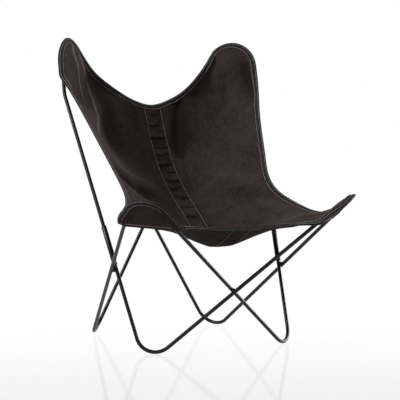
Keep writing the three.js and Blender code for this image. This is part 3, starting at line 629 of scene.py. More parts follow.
# Folds, each with its height in mm, its width on both sides in mm, how far its ridge is rounded, how
# strongly the ridge is painted pale, as wear and as a painted highlight, the shares over which its two
# ends fade, and its line through (share of the panel's width, share of its length). The first width is
# that towards the side edge, for a line that runs from the back to the front.
plainEnds = (0.25, 0.35)
folds = {
    -1: [
        (4.0, (10, 9), 0.8, 1.2, (0.10, 0.35),
         [(0.90, 0.02), (0.83, 0.045), (0.75, 0.062), (0.69, 0.085), (0.64, 0.125), (0.62, 0.17)]),
        (12.0, (64, 17), 1.2, 1.0, (0.06, 0.35),
         [(0.78, 0.012), (0.60, 0.02), (0.50, 0.04), (0.47, 0.09), (0.56, 0.18), (0.80, 0.31),
          (0.97, 0.42)]),
        (11.5, (20, 58), 3.0, 0.2, (0.12, 0.45),
         [(1.0, 0.475), (0.94, 0.475), (0.76, 0.468), (0.60, 0.455), (0.40, 0.42), (0.19, 0.41),
          (0.02, 0.42)]),
        (-7.0, (26, 15), 4.0, 0, (0.12, 0.4),
         [(0.98, 0.51), (0.78, 0.505), (0.56, 0.495), (0.36, 0.465), (0.12, 0.47)]),
        (6.0, (20, 20), 3.0, 0, plainEnds, [(0.99, 0.57), (0.80, 0.565), (0.58, 0.55), (0.40, 0.555)]),
        (-5.0, (24, 44), 8.0, 0, plainEnds, [(0.40, 0.03), (0.41, 0.12), (0.52, 0.25), (0.62, 0.36)]),
        (3.5, (16, 14), 3.0, 0, plainEnds, [(0.34, 0.02), (0.27, 0.10), (0.24, 0.17)]),
        (-3.0, (12, 10), 3.0, 0, plainEnds, [(0.12, 0.01), (0.11, 0.08), (0.08, 0.15)]),
        (4.0, (16, 26), 3.0, 0, plainEnds, [(0.20, 0.88), (0.55, 0.83), (0.90, 0.86)]),
    ],
    1: [
        (-14.0, (26, 13), 2.0, 0, (0.03, 0.35),
         [(0.22, 0.0), (0.165, 0.05), (0.12, 0.12), (0.09, 0.20), (0.10, 0.27)]),
        (3.0, (9, 8), 1.5, 0, plainEnds, [(0.26, 0.01), (0.24, 0.06), (0.22, 0.11)]),
        (-2.5, (8, 8), 1.5, 0, plainEnds, [(0.37, 0.01), (0.34, 0.05), (0.33, 0.09)]),
        (-5.5, (12, 18), 4.0, 0, plainEnds, [(0.88, 0.07), (0.91, 0.12), (0.94, 0.19), (0.96, 0.27)]),
        (-2.4, (26, 22), 6.0, 0, plainEnds, [(0.70, 0.05), (0.62, 0.12), (0.55, 0.20)]),
        (2.0, (22, 18), 4.0, 0, plainEnds, [(0.30, 0.40), (0.55, 0.43), (0.80, 0.52), (0.95, 0.60)]),
        (-1.7, (16, 18), 4.0, 0, plainEnds, [(0.36, 0.48), (0.60, 0.52), (0.86, 0.61)]),
        (3.5, (18, 20), 2.0, 0, plainEnds, [(0.66, 0.59), (0.81, 0.64), (0.91, 0.71), (0.98, 0.79)]),
        (22.0, (46, 30), 3.0, 0.35, (0.5, 0.35),
         [(0.50, 0.79), (0.62, 0.793), (0.70, 0.808), (0.77, 0.835), (0.84, 0.865), (0.93, 0.905)]),
        (-3.0, (14, 16), 3.0, 0, plainEnds, [(0.55, 0.93), (0.75, 0.90), (0.93, 0.90)]),
    ],
}


# Points of the cover at distances x from the middle line, one row for each share v of its length:
# y and z go from the middle line to the side edge with a power of the share of the way.
def coverPlaces(side, x, v):
    middle, outer = evenly(middleLine, v), evenly(edges[side]["side"], v)
    share = x / np.abs(outer[:, :1])
    seated = smooth(v, *cloth["seatFrom"])[:, None]
    bent = share ** (cloth["backPower"] + (cloth["seatPower"] - cloth["backPower"]) * seated)
    flat = middle[:, None] * (1 - bent[..., None]) + outer[:, None] * bent[..., None]
    flat[..., 0] = side * x
    return flat


# What the top and the front edge add to the surface fades with a power of the distance from them.
def fitEnds(points, v, top, front):
    fromTop, fromFront = top - points[0], front - points[-1]
    return (points + ((1 - v) ** cloth["topFade"])[:, None, None] * fromTop
            + (v ** cloth["frontFade"])[:, None, None] * fromFront)


# One half's surface. Over the tips it takes their profile, and over their legs at least its height. The
# profile is bent to meet the edges: the height that it misses there is added, less and less inwards.
def coverSurface(side):
    u, v = even(panel["columns"]), even(panel["rows"])
    e, start = edges[side], seam - panel["under"]

    def pastSeam(line):
        return evenly(line[np.argmax(np.abs(line[:, 0]) >= start):], u)

    outer = np.abs(evenly(e["side"], v)[:, :1])
    points = coverPlaces(side, start + (outer - start) * u[None], v)
    points = fitEnds(points, v, pastSeam(e["top"]), pastSeam(e["front"]))
    for rise, skew, power, at, wide in panel["swells"]:  # a hump at the front, and a sag before it
        across = np.sin(math.pi * u**skew).clip(0) ** power
        points[..., 2] += rise[side] * across * bell((v - at) / wide)[:, None]
    free = np.zeros(points.shape[:2])
    free[1:-1, 1:-1] = 1
    toSide, toEnds = (1 - u)[None] * panel["span"][0], np.minimum(v, 1 - v)[:, None] * panel["span"][1]
    ramp = smooth(np.minimum(toSide, toEnds), 0, panel["ramp"]) * free
    fromSide = 1 - smooth(toSide, 0, panel["meet"])
    for kind, end, away in (("rear", 0, v), ("front", -1, 1 - v)):
        tip = tips[kind, side]
        a, b, height = tip.flat(points)
        want = tipProfile(tip, a, b)
        miss = np.clip(height - want, -panel["mostMiss"], panel["mostMiss"])
        fromEnd = 1 - smooth(away[:, None] * panel["span"][1], 0, panel["meet"])
        fit = miss[end][None] * fromEnd + miss[:, -1:] * fromSide * (1 - fromEnd)
        near = (1 - smooth(np.hypot(a, b) / tip.radius, *panel["near"])) * free
        points = points + ((want + fit - height) * near)[..., None] * tip.face
        points = points + (liftOverLegs(tip, points, fit) - points) * (ramp * (1 - near))[..., None]
    return points, u, v


# The normals of a grid: the cross products of its steps along both ways, turned to face a direction.
def surfaceNormals(points, towards=(0, -0.5, 1)):
    normal = np.cross(np.gradient(points, axis=1), np.gradient(points, axis=0))
    normal /= np.maximum(np.linalg.norm(normal, axis=-1, keepdims=True), 1e-9)
    return normal * np.sign(np.sum(normal[len(points) // 2, points.shape[1] // 2] * towards))


def smoothGrid(values, rounds):  # each inner value moves half the way to the middle of its neighbours
    for _ in range(rounds):
        middle = (values[:-2, 1:-1] + values[2:, 1:-1] + values[1:-1, :-2] + values[1:-1, 2:]) / 4
        values[1:-1, 1:-1] += 0.5 * (middle - values[1:-1, 1:-1])
    return values


# Height of one fold, and its pale ridge line, part wear and part painted highlight. The distance to the
# nearest piece of its line, with a sign for the side, gives the fall-off exp(-(distance / width) ^
# power), with a rounded ridge. The share of the way along the line fades its two ends.
def foldShape(x, y, size, height, wide, rounding, ridgeWearAndHighlight, fades, path):
    line = np.array(path) * size
    run = runOf(line)
    best, off, way = np.full(x.shape, np.inf), np.zeros(x.shape), np.zeros(x.shape)
    for a, d, before in zip(line, np.diff(line, axis=0), run):
        t = np.clip(((x - a[0]) * d[0] + (y - a[1]) * d[1]) / (d @ d), 0, 1)
        gap = np.hypot(x - a[0] - t * d[0], y - a[1] - t * d[1])
        near = gap < best
        best = np.where(near, gap, best)
        off = np.where(near, (x - a[0]) * d[1] - (y - a[1]) * d[0], off)
        way = np.where(near, (before + t * math.hypot(*d)) / run[-1], way)
    soft = np.hypot(best, rounding) - rounding
    rise = height * np.exp(-((soft / np.where(off > 0, *wide)) ** foldForm["power"]))
    past = foldForm["past"]
    ends = smooth(way, -past, fades[0]) * (1 - smooth(way, 1 - fades[1], 1 + past))
    return np.stack([rise, ridgeWearAndHighlight * bell(best / foldForm["creaseWidth"])]) * ends


# Smooth random waves: random numbers on a coarse grid, joined by smooth steps.
def waves(u, v, cellsU, cellsV):
    values = random.uniform(-1, 1, (cellsV + 2, cellsU + 2))
    x, y = np.meshgrid(u * cellsU, v * cellsV)
    i, j = np.minimum(x.astype(int), cellsU - 1), np.minimum(y.astype(int), cellsV - 1)
    fx, fy = smooth(x - i, 0, 1), smooth(y - j, 0, 1)
    return ((values[j, i] * (1 - fx) + values[j, i + 1] * fx) * (1 - fy)
            + (values[j + 1, i] * (1 - fx) + values[j + 1, i + 1] * fx) * fy)


# A sheet with a thickness: one layer on each side of the surface, joined round the rim. Its UVs are the
# distances across and along it, in metres. The fold shade and wear is 0 in the valleys and 1 on the
# crests;
# it paints shade into the valleys and light onto the crests, partly as wear.
def thickSheet(name, points, normal, thickness, wear, crease=None):
    rows, columns = points.shape[:2]
    count = rows * columns
    half = np.broadcast_to(thickness, (rows, columns))[..., None] / 2
    both = np.vstack([(points + normal * half).reshape(-1, 3), (points - normal * half).reshape(-1, 3)])
    faces = gridFaces(rows, columns)
    i, j = np.arange(columns - 1), np.arange(rows - 1) * columns
    loop = np.concatenate([i, j + columns - 1, count - 1 - i, count - columns - j])
    follow = np.roll(loop, -1)
    rim = np.stack([loop, loop + count, follow + count, follow], axis=1)
    a, b, c = both[faces[len(faces) // 2, :3]]
    if np.dot(np.cross(b - a, c - a), normal[rows // 2, columns // 2]) < 0:
        faces, rim = faces[:, ::-1], rim[:, ::-1]
    uv = np.stack([runOf(points, 1), runOf(points, 0)], axis=-1).reshape(-1, 2) / 1000
    attributes = {"wear": np.stack([wear, wear])}
    if crease is not None:
        attributes["crease"] = np.stack([crease, crease * panel["hindCrease"]])  # its painted highlight and wear are weaker behind
    return toMesh(name, both, np.vstack([faces, faces[:, ::-1] + count, rim]), uv=np.vstack([uv, uv]),
                  attributes=attributes)


parts, surfaces = {}, {}
for side in names:
    points, u, v = coverSurface(side)
    points = smoothGrid(points, panel["formRounds"])
    normal = surfaceNormals(points)
    size = runOf(points[panel["rows"] // 3])[-1], runOf(points[:, panel["columns"] // 2])[-1]
    x, y = np.meshgrid(u * size[0], v * size[1])
    heights, crease = sum(foldShape(x, y, size, *fold) for fold in folds[side])
    heights += sum(amount * waves(u, v, *cells) for amount, *cells in panel["ripples"])
    border = np.minimum((1 - u)[None] * size[0], np.minimum(v, 1 - v)[:, None] * size[1])
    heights = smoothGrid(heights * np.clip(border / panel["fadeIn"], 0, 1), panel["foldRounds"])
    heights = heights * smooth(u * size[0], 0, panel["seamFade"])[None]
    points = points + heights[..., None] * normal
    surfaces[side] = points, normal
    # painted shade in the valleys and painted light on the crests, partly wear
    wear = np.clip(0.5 + heights / panel["wear"], 0, 1)
    piece = thickSheet("canvas_panel_" + names[side], points, normal, cloth["thickness"], wear, crease)
    parts["panel", side] = standFor(piece, "cover_panel_" + names[side], "canvas")
    print("panel", side, "%.0f by %.0f mm" % size)

# The middle strip: a doubled band that puckers between its two rows of stitches. Each pleat crosses it:
# share of its length, depth, half width along and lean; a pleat is a narrow valley with a low roll above.
strip = dict(columns=45, rows=901, thickness=2.8, thin=1.3, taper=(4.0, 18.0), ends=(4.0, 20.0),
             seamFade=7.0, pucker=[(0.46, 3, 60), (0.322, 5, 150)], wear=2.2, edgePart=300)
pleat = dict(bow=7.0, wave=1.1, often=3.5, phase=40.0, reach=1.1, oneSided=0.6, fade=(0.4, 1.2),
             valley=1.2, valleyWidth=0.55, roll=0.25, rollAt=1.6, rollWidth=1.3)
pleats = [(0.045, 0.8, 5, 0.10), (0.09, 1.1, 6, -0.2), (0.145, 3.2, 8, -0.25), (0.185, 1.2, 5, 0.15),
          (0.215, 2.2, 6, -0.3), (0.265, 3.0, 8, -0.15), (0.30, 1.1, 5, 0.2), (0.345, 2.6, 9, 0.3),
          (0.385, 1.3, 8, -0.2), (0.44, 0.9, 12, 0.2), (0.50, 0.9, 12, 0.1), (0.56, 1.0, 12, -0.2),
          (0.63, 0.8, 12, 0.2), (0.71, 0.8, 12, 0.1), (0.80, 0.7, 13, -0.1), (0.89, 0.8, 12, 0.1)]


def halfStrip(side, x, v):  # the strip's surface on one side of the middle, fitted to the two edges
    points = coverPlaces(side, np.broadcast_to(x, (len(v), len(x))), v)
    ends = [edges[side][key][:strip["edgePart"]] for key in ("top", "front")]
    return fitEnds(points, v, *(pick(x, np.abs(end[:, 0]), end * (0, 1, 1)) + x[:, None] * (side, 0, 0)
                                for end in ends))


# Both halves side by side, moved along the normal by the sum of random waves and pleats. A pleat is a low
# bell beside a deeper, narrower one, along a line that leans and waves across the strip.
def middleStrip():
    v, x = even(strip["rows"]), np.linspace(0, seam, strip["columns"] // 2 + 1)
    left, right = (halfStrip(side, x, v) for side in names)
    points = np.concatenate([left[:, ::-1], right[:, 1:]], axis=1)
    normal = surfaceNormals(points)
    length = runOf(points[:, strip["columns"] // 2])[-1]
    across = np.linspace(-1, 1, strip["columns"])
    s, t = np.meshgrid(across, v * length)
    pucker = sum(amount * waves(across / 2 + 0.5, v, *cells) for amount, *cells in strip["pucker"])
    for at, depth, wide, lean in pleats:
        bow = lean * pleat["bow"] * s + pleat["wave"] * np.sin(pleat["often"] * s + pleat["phase"] * at)
        off = (t - at * length - bow) / wide
        oneSided = smooth(pleat["reach"] + np.sign(lean) * pleat["oneSided"] * s, *pleat["fade"])
        pucker += depth * oneSided * (pleat["roll"] * bell((off + pleat["rollAt"]) / pleat["rollWidth"])
                                      - pleat["valley"] * bell(off / pleat["valleyWidth"]))
    toEnd = np.minimum(t, length - t)
    pucker *= smooth(seam * (1 - np.abs(s)), 0, strip["seamFade"]) * smooth(toEnd, *strip["ends"])
    thickness = strip["thin"] + (strip["thickness"] - strip["thin"]) * smooth(toEnd, *strip["taper"])
    return points + pucker[..., None] * normal, normal, pucker, thickness


stripPoints, stripNormal, stripPucker, stripThickness = middleStrip()
# painted shade in the pleats' valleys and painted light on their crests
wear = np.clip(0.5 + stripPucker / strip["wear"], 0, 1)
piece = thickSheet("canvas_middle_strip", stripPoints, stripNormal, stripThickness, wear)
parts["strip"] = standFor(piece, "cover_middle_strip", "strip_canvas")
print("panels and strip made")

# The binding tape, folded round the edge
tape = dict(width=17.0, thickness=0.8, slot=1.5, fold=1.2, slotStart=0.3, bevel=(0.15, 0.1), crown=1.0,
            foldSteps=11, samples=560, joinSamples=300, hemRow=14.8, edgeRow=3.6, atTip=(28.0, 45.0),
            level=10.0, levelWeight=3.0, window=9, tipWindow=8,
            panelRows=dict(side=(-1, -7, -4), top=(0, 5, 3), front=(-1, -6, -4)),
            stripRows=dict(top=(0, 14, 8), front=(-1, -15, -9)))
pocket = dict(rows=90, columns=141, clear=1.0, thickness=1.3, inset=1.6, hem=15.0, hemThickness=2.5,
              hemRow=12.0, hemStep=(-1.0, 0.5), hemTrim=1.5, crowd=0.45, rumple=(0.5, 7, 4),
              rumpleFade=(8, 30), rumpleShadeAndWear=0.3, hemWear=0.12,
              ends=dict(rear=(34.0, 26.0), front=(56.0, 88.0)))


# The slope of the line from (reach, depth) that touches from below a circle of radius back round the
# origin: the angle to the origin plus the one whose tangent is back over the touching length.
def tangentSlope(reach, depth, back):
    span = np.sqrt(np.maximum(reach**2 + depth**2 - back**2, 1e-6))
    return np.tan(np.clip(np.arctan2(depth, reach) + np.arctan2(back, span), -1.4, 1.4))


# Along one edge, in rows: the place, the way into the cloth, its normal, the way into the pocket's cloth
# behind a tip, that cloth's normal, and how much of a tip there is. Three rows of a sheet's grid give the
# place, a place deeper in the cloth, and the normal.
def edgeRows(side, name):
    p, n = surfaces[side]
    if name == "side":
        p, n = p.swapaxes(0, 1), n.swapaxes(0, 1)
    line, deeper, normal = (rows[k] for rows, k in zip((p, p, n), tape["panelRows"][name]))
    if name != "side":  # the strip's end comes before the panel's
        middle = strip["columns"] // 2
        half = slice(middle, -2) if side > 0 else slice(middle, 1, -1)
        ends = [rows[k, half] for rows, k in zip((stripPoints, stripPoints, stripNormal),
                                                 tape["stripRows"][name])]
        line, deeper, normal = (np.vstack(pair) for pair in zip(ends, (line, deeper, normal)))
    inward = unit(deeper - line)
    ways, atTip = [inward, normal, inward, normal], np.zeros((len(line), 1))
    for kind in ("rear", "front"):
        tip = tips[kind, side]
        a, b, height = tip.flat(line)
        over = tape["levelWeight"] * np.maximum(np.abs(height) - tape["level"], 0)
        near = 1 - smooth(np.hypot(tip.fromRod(a, b), over), *tape["atTip"])[:, None]
        away = np.where(tip.onLeg(a, b)[:, None], np.stack([np.sign(a) * tip.cos, 0 * a - tip.sin], 1),
                        np.stack([a, b], 1) / np.hypot(a, b)[:, None])
        reach, over = tip.edgeAt(a, b)
        flat = -away[:, :1] * tip.across - away[:, 1:] * tip.down
        behind = tangentSlope(reach, over - cloth["lift"], rod["radius"] + pocket["clear"])
        targets = (unit(flat + tapeSlope(reach, over)[:, None] * tip.face), tip.face,
                   unit(flat - behind[:, None] * tip.face), tip.face)
        ways = [way * (1 - near) + target * near for way, target in zip(ways, targets)]
        atTip = atTip + near
    return np.hstack([line, *ways, atTip])


def edgeFrames(rows):  # the same at even steps, with each set of directions made square
    rows = evenly(rows, even(tape["samples"]))
    line, tangent, ways = rows[:, :3], unit(np.gradient(rows[:, :3], axis=0)), []
    for k in (3, 9):
        into, normal = (smoothLine(rows[:, j:j + 3], tape["window"]) for j in (k, k + 3))
        into = unit(into - dot(into, tangent) * tangent)
        ways += [into, unit(normal - dot(normal, tangent) * tangent - dot(normal, into) * into)]
    atTip = smoothLine(rows[:, 15:], tape["tipWindow"])
    return dict(line=line - ways[1] * atTip * cloth["lift"], inward=ways[0], normal=ways[1], back=ways[2],
                backNormal=ways[3], atTip=atTip)


# The tape's cross-section, a strip folded to a U, as rows of distance into the cloth, height over its
# middle, and share of the leg behind.
def tapeOutline():
    inner, outer, w = tape["slot"] / 2, tape["slot"] / 2 + tape["thickness"], tape["width"]
    (low, high), crown, steps = tape["bevel"], tape["crown"], tape["foldSteps"]
    turn = np.linspace(math.pi / 2, 3 * math.pi / 2, steps)
    fold = np.stack([outer + outer * np.cos(turn), outer * np.sin(turn), even(steps)], axis=1)
    front = np.array([[tape["fold"] + tape["slotStart"], inner, 0], [w / 2, inner, 0], [w, inner, 0],
                      [w, inner + low, 0], [w - low, outer - high, 0], [w - crown, outer, 0],
                      [w / 2, outer, 0]])
    return np.vstack([front, fold, front[::-1] * (1, -1, 1) + (0, 0, 1), [[tape["fold"], 0, 0.5]]])


# The outline carried along the edge. At the tips, where two cloths lie in the fold, it opens wider and
# its hind leg lies along the pocket's cloth.
def carryOutline(name, f, outline):
    w, h, hind = (outline[None, :, k, None] for k in range(3))
    into = unit(f["inward"][:, None] * (1 - hind) + f["back"][:, None] * hind)
    over = unit(f["normal"][:, None] * (1 - hind) + f["backNormal"][:, None] * hind)
    points = f["line"][:, None] + w * into + (h + np.sign(h) * f["atTip"][:, None] * cloth["lift"]) * over
    rows, columns = points.shape[:2]
    uv = np.stack(np.meshgrid(runOf(outline[:, :2]), runOf(f["line"])), axis=-1).reshape(-1, 2) / 1000
    quads = gridFaces(rows, columns, closeColumns=True)
    caps = np.stack([np.arange(columns)[::-1], np.arange(columns) + (rows - 1) * columns])
    if np.dot(np.cross(f["inward"][0], f["normal"][0]), f["line"][1] - f["line"][0]) < 0:
        quads, caps = quads[:, ::-1], caps[:, ::-1]
    return toMesh(name, points, quads, caps, uv,
                  {"into": np.broadcast_to(w[..., 0], (rows, columns))})


frames = {side: edgeFrames(edgeRows(side, "side")) for side in names}
for name in ("top", "front"):
    left, right = (evenly(edgeRows(side, name), even(tape["joinSamples"])) for side in names)
    frames[name] = edgeFrames(np.vstack([left[::-1], right[1:]]))
outline = tapeOutline()
for key in frames:
    label = names.get(key, key)
    parts["tape", key] = standFor(carryOutline("edge_tape_" + label, frames[key], outline),
                                  "edge_binding_" + label, "tape")
print("tape made")


# Pockets: the cloth behind a tip, in rows of points across the tip, from the hem up to the apex. A
# row runs from the seam on one edge to the seam on the other. Its height over the tip's plane is a
# straight line from the seam that touches the back of the rod, and level behind the rod between the legs.
def pocketSheet(tip, innerEdge, outerEdge, ends):
    seams = []
    for hand, leg, edge in ((-1, ends[1], innerEdge), (1, ends[0], outerEdge)):
        run, lowest = runOf(edge), tip.flat(tip.place(hand, 1, leg, 0, 0))[1]
        beyond = np.argmax(tip.flat(edge)[1] > lowest)
        want = np.linspace(1, 0, pocket["rows"]) * (run[beyond] if beyond else run[-1])
        seams.append(tip.flat(pick(want, run, edge)))
    t = even(pocket["columns"])
    t = t - pocket["crowd"] * np.sin(2 * math.pi * t) / (2 * math.pi)  # closer together near the seams

    def across(first, last):
        return first[:, None] * (1 - t) + last[:, None] * t

    a, b, seamDepth = (across(first, last) for first, last in zip(*seams))
    off, back = tip.fromRod(a, b), rod["radius"] + pocket["clear"]
    seamReach = across(*(tip.fromRod(*seam[:2]) for seam in seams))
    slope = tangentSlope(seamReach, seamDepth, back)
    circle = -np.sqrt(np.maximum(back**2 - np.clip(off, 0, back) ** 2, 0))
    height = np.where(off > back * slope / np.sqrt(1 + slope**2), seamDepth + slope * (off - seamReach),
                      np.where(off > 0, circle, -back))
    return tip.solid(a, b, height)


# One pocket: the sheet, thicker at its hem and slightly rumpled, and the line for the hem's stitches.
def makePocket(kind, side):
    tip = tips[kind, side]
    outerEdge, innerEdge = (f["line"] + pocket["inset"] * f["back"] - f["backNormal"] * cloth["lift"]
                            for f in (frames[side], frames["top" if kind == "rear" else "front"]))
    outerEdge = outerEdge if kind == "rear" else outerEdge[::-1]
    innerEdge = innerEdge[::-side][:len(innerEdge) // 2]
    points = pocketSheet(tip, innerEdge, outerEdge, pocket["ends"][kind])[:-1]
    rows, columns = points.shape[:2]
    normal, fromHem = surfaceNormals(points, -tip.face), runOf(points)
    hem = 1 - smooth(fromHem, *(pocket["hem"] + step for step in pocket["hemStep"]))
    thickness = pocket["thickness"] + (pocket["hemThickness"] - pocket["thickness"]) * hem
    amount, *cells = pocket["rumple"]
    column = np.arange(columns)
    rumple = amount * waves(even(columns), even(rows), *cells)
    rumple *= smooth(np.minimum(column, column[::-1]), *pocket["rumpleFade"])[None]
    points = points + (rumple * smooth(fromHem, *pocket["rumpleFade"]))[..., None] * normal
    # painted shade in the rumples' valleys and painted light on their crests; the hem is lighter
    wear = 0.5 + pocket["rumpleShadeAndWear"] * rumple + pocket["hemWear"] * hem
    piece = thickSheet("pocket_%s_%s" % (kind, names[side]), points, normal, thickness, wear)
    parts["pocket", kind, side] = standFor(piece, "%s_pocket_%s" % (kind, names[side]), "canvas")
    row = int(np.argmax(fromHem[:, columns // 2] > pocket["hemRow"]))
    run, trim = runOf(points[row]), pocket["hemTrim"] * tape["width"]
    inside = (run > trim) & (run < run[-1] - trim)
    return points[row][inside], normal[row][inside], thickness[row][inside][:, None] / 2


hemLines = {(kind, side): makePocket(kind, side) for side in names for kind in ("rear", "front")}
print("pockets made")

# Stitches: short threads laid end to end along a line
stitch = dict(length=3.8, gap=0.6, radius=0.74, hindHem=0.44, hindEdge=0.6, thin=0.55, rows=7, sides=8,
              arch=0.55, sink=0.25, taper=0.96, thinnest=0.02, stripInset=2.4, stripEnd=16)


# One stitch is a slim bar that bows up between its two ends: along its length the height is a cosine and
# the thickness nearly level with rounded ends. All stitches of a line are worked out at once.
def stitchLine(line, normal, lift, radius):
    run = runOf(line)
    count = max(2, int(run[-1] / (stitch["length"] + stitch["gap"])))
    w = np.linspace(-1, 1, stitch["rows"])
    s = (np.arange(count)[:, None] + 0.5) * run[-1] / count + w * stitch["length"] / 2
    centre, up = pick(s, run, line), unit(pick(s, run, normal))
    tangent = unit(centre[:, -1:] - centre[:, :1])
    up = unit(up - dot(up, tangent) * tangent)
    arch = np.cos(w * math.pi / 2)[:, None] * radius * stitch["arch"]
    centre = centre + up * (pick(s, run, lift) + arch - stitch["sink"] * radius)
    thick = radius * np.sqrt(np.maximum(1 - w**4 * stitch["taper"], stitch["thinnest"]))[:, None, None]
    points = centre[:, :, None] + ringOf(np.cross(tangent, up), up, stitch["sides"]) * thick
    size = stitch["rows"] * stitch["sides"]
    start = np.arange(count)[:, None, None] * size
    quads = (gridFaces(stitch["rows"], stitch["sides"], closeColumns=True) + start).reshape(-1, 4)
    first = np.arange(stitch["sides"]) + start[:, 0]
    caps = np.vstack([first, first[:, ::-1] + size - stitch["sides"]])
    return points.reshape(-1, 3), quads[:, ::-1], caps


def stitchPiece(name, key, *rows):  # each row: places, normals, lift over them and the thread's radius
    points, quads, caps, start = [], [], [], 0
    for row in rows:
        made = stitchLine(*row)
        points.append(made[0])
        quads.append(made[1] + start)
        caps.append(made[2] + start)
        start += len(made[0])
    parts["stitches", *key] = toMesh("stitches_" + name, *(np.vstack(x) for x in (points, quads, caps)))


for where, f in frames.items():
    lift = tape["slot"] / 2 + tape["thickness"] + cloth["lift"] * f["atTip"]
    for label, row, hindRadius in (("hem", tape["hemRow"], stitch["hindHem"]),
                                   ("edge", tape["edgeRow"], stitch["hindEdge"])):
        hind = f["line"] + f["back"] * row
        stitchPiece("%s_%s" % (label, names.get(where, where)), (label, where),
                    (f["line"] + f["inward"] * row, f["normal"], lift, stitch["radius"]),
                    (hind[::-1], -f["backNormal"][::-1], lift[::-1], hindRadius))
for (kind, side), line in hemLines.items():
    stitchPiece("pocket_%s_%s" % (kind, names[side]), (kind, side), (*line, stitch["radius"]))
for side in names:
    middle = strip["columns"] // 2
    column = middle + side * round((1 - stitch["stripInset"] / seam) * middle)
    line, normal, lift = (rows[stitch["stripEnd"]:-stitch["stripEnd"], column]
                          for rows in (stripPoints, stripNormal, stripThickness[..., None] / 2))
    stitchPiece("strip_" + names[side], ("strip", side), (line, normal, lift, stitch["thin"]),
                (line[::-1], -normal[::-1], lift[::-1], stitch["thin"]))
threads = [piece for key, piece in parts.items() if key[0] == "stitches"]
print("stitches made:", sum(len(piece.data.polygons) for piece in threads), "faces")


# Materials. Washed canvas: two crossed sines for the weave, streaks along both threads, mottling in
# three sizes, painted shade in the fold valleys with painted light on the crests (partly wear), and pale
# ridge lines, part wear and part painted highlight. The shares are weights in one sum that mixes the two
# colours.
def canvasMaterial(name, lit, shade, thread=0.95):
    m = Shader(bpy.data.materials.new(name))
    uv, place = m.sewn(), m.place()
    across, along = m.split(uv)
    per = 2 * math.pi / (thread / 1000)
    wobble = m.noise(uv, 60, 2) * 0.8
    warp = (across * per + wobble).maths("SINE")
    weft = (along * per + wobble).maths("SINE")
    single = warp.maths("ABSOLUTE") + weft.maths("ABSOLUTE")
    weave = (warp * weft).maths("ABSOLUTE") * 0.6 + single * 0.2
    streakA, streakB = (m.noise(uv, 1, 4, 0.6, stretch) for stretch in ((420, 9, 1), (9, 420, 1)))
    mottle, cloud = m.noise(place, 40, 5, 0.62), m.noise(place, 9)
    slub, speck = m.noise(uv, 1, 3, 0.7, (300, 60, 1)), m.noise(place, 330, 3, 0.75)
    fine = m.noise(place, 900, 3, 0.6)
    light = streakA * 0.5 + streakB * 0.35 + mottle * 0.45 + cloud * 0.3 + slub * 0.6 + speck * 0.8
    # the fold attribute paints shade into the valleys and light onto the crests, partly as wear
    light = (light - 1.5) * 1.35 + 0.5 + (m.attribute("wear") - 0.5) + (weave - 0.5) * 0.16
    colour = m.mix(light.between(0, 1), linear(shade), linear(lit))
    # pale lines along the fold ridges, part wear and part painted highlight
    ridgeWearAndHighlight = m.mix(m.attribute("crease") * (0.35 + mottle * 0.5), colour, linear("a0948f"))
    height = weave * 0.00022 + streakA * 0.00012 + streakB * 0.00010 + fine * 0.00008
    m.set(Base_Color=ridgeWearAndHighlight, Roughness=0.9 + (fine - 0.5) * 0.12, Normal=m.bump(height, 0.75),
          Sheen_Weight=0.02, Sheen_Roughness=0.5, Specular_IOR_Level=0.06)
    return m.owner


# Charcoal tape: a fine diagonal twill, mottling, and painted shade in the grooves under its two rows of
# stitches.
def tapeMaterial(lit, shade):
    m = Shader(bpy.data.materials.new("charcoal_tape"))
    across, along = m.split(m.sewn())
    twill = ((across + along) * (2 * math.pi / 0.0013)).maths("SINE")
    cross = ((across - along) * (2 * math.pi / 0.0009)).maths("SINE")
    weave = twill * 0.35 + cross * 0.15 + 0.5
    mottle, into = m.noise(m.place(), 60, 4, 0.6), m.attribute("into")
    # painted shade along the two rows of stitches
    hem, edge = (1 - (into - tape[row]).maths("ABSOLUTE").between(0.4, 3.0)
                 for row in ("hemRow", "edgeRow"))
    light = mottle * 1.2 - 0.1 + (weave - 0.5) * 0.3 - (hem + edge) * 0.45
    m.set(Base_Color=m.mix(light.between(0, 0.9), linear(shade), linear(lit)),
          Roughness=0.82 + (mottle - 0.5) * 0.15, Normal=m.bump(weave * 0.00016 + mottle * 0.0001, 0.8),
          Sheen_Weight=0.03, Specular_IOR_Level=0.1)
    return m.owner


def threadMaterial(lit, shade):  # grey thread: mottling and the twist, mixed from two greys
    m = Shader(bpy.data.materials.new("grey_thread"))
    mottle, twist = m.noise(m.place(), 300, 3, 0.6), m.noise(m.place(), 1800, 2)
    light = (mottle * 0.7 + twist * 0.5).between(0.35, 0.85)
    m.set(Base_Color=m.mix(light, linear(shade), linear(lit)), Roughness=0.6 + mottle * 0.2,
          Normal=m.bump(twist * 0.0002, 0.6))
    return m.owner


def steelMaterial(name, lit, shade, roughness, grain):  # coated steel, with a few lighter specks
    m = Shader(bpy.data.materials.new(name))
    peel, cloud = m.noise(m.place(), 700), m.noise(m.place(), 14)
    speck = m.noise(m.place(), 260, 2).between(0.66, 0.78)
    m.set(Base_Color=m.mix(speck * 0.5, m.mix(cloud, linear(shade), linear(lit)), linear("222223")),
          Roughness=roughness + (cloud - 0.5) * 0.16 + (peel - 0.5) * 0.08,
          Normal=m.bump(peel * grain, 0.6), Specular_IOR_Level=0.28)
    return m.owner


materials = dict(
    canvas=canvasMaterial("brown_canvas", "4c4340", "282221"),
    strip_canvas=canvasMaterial("brown_canvas_strip", "4a3f3c", "221c1b"),
    tape=tapeMaterial("3e3b3b", "161515"), thread=threadMaterial("c6bebb", "9c9492"),
    frame_steel=steelMaterial("black_coating", "0c0c0e", "050507", 0.26, 0.00005),
    weld_steel=steelMaterial("black_coating_weld", "141416", "0a0a0b", 0.46, 0.0003),
)
for piece, slot in slotted + [(piece, "thread") for piece in threads]:
    piece.data.materials.append(materials[slot])
print("materials made")


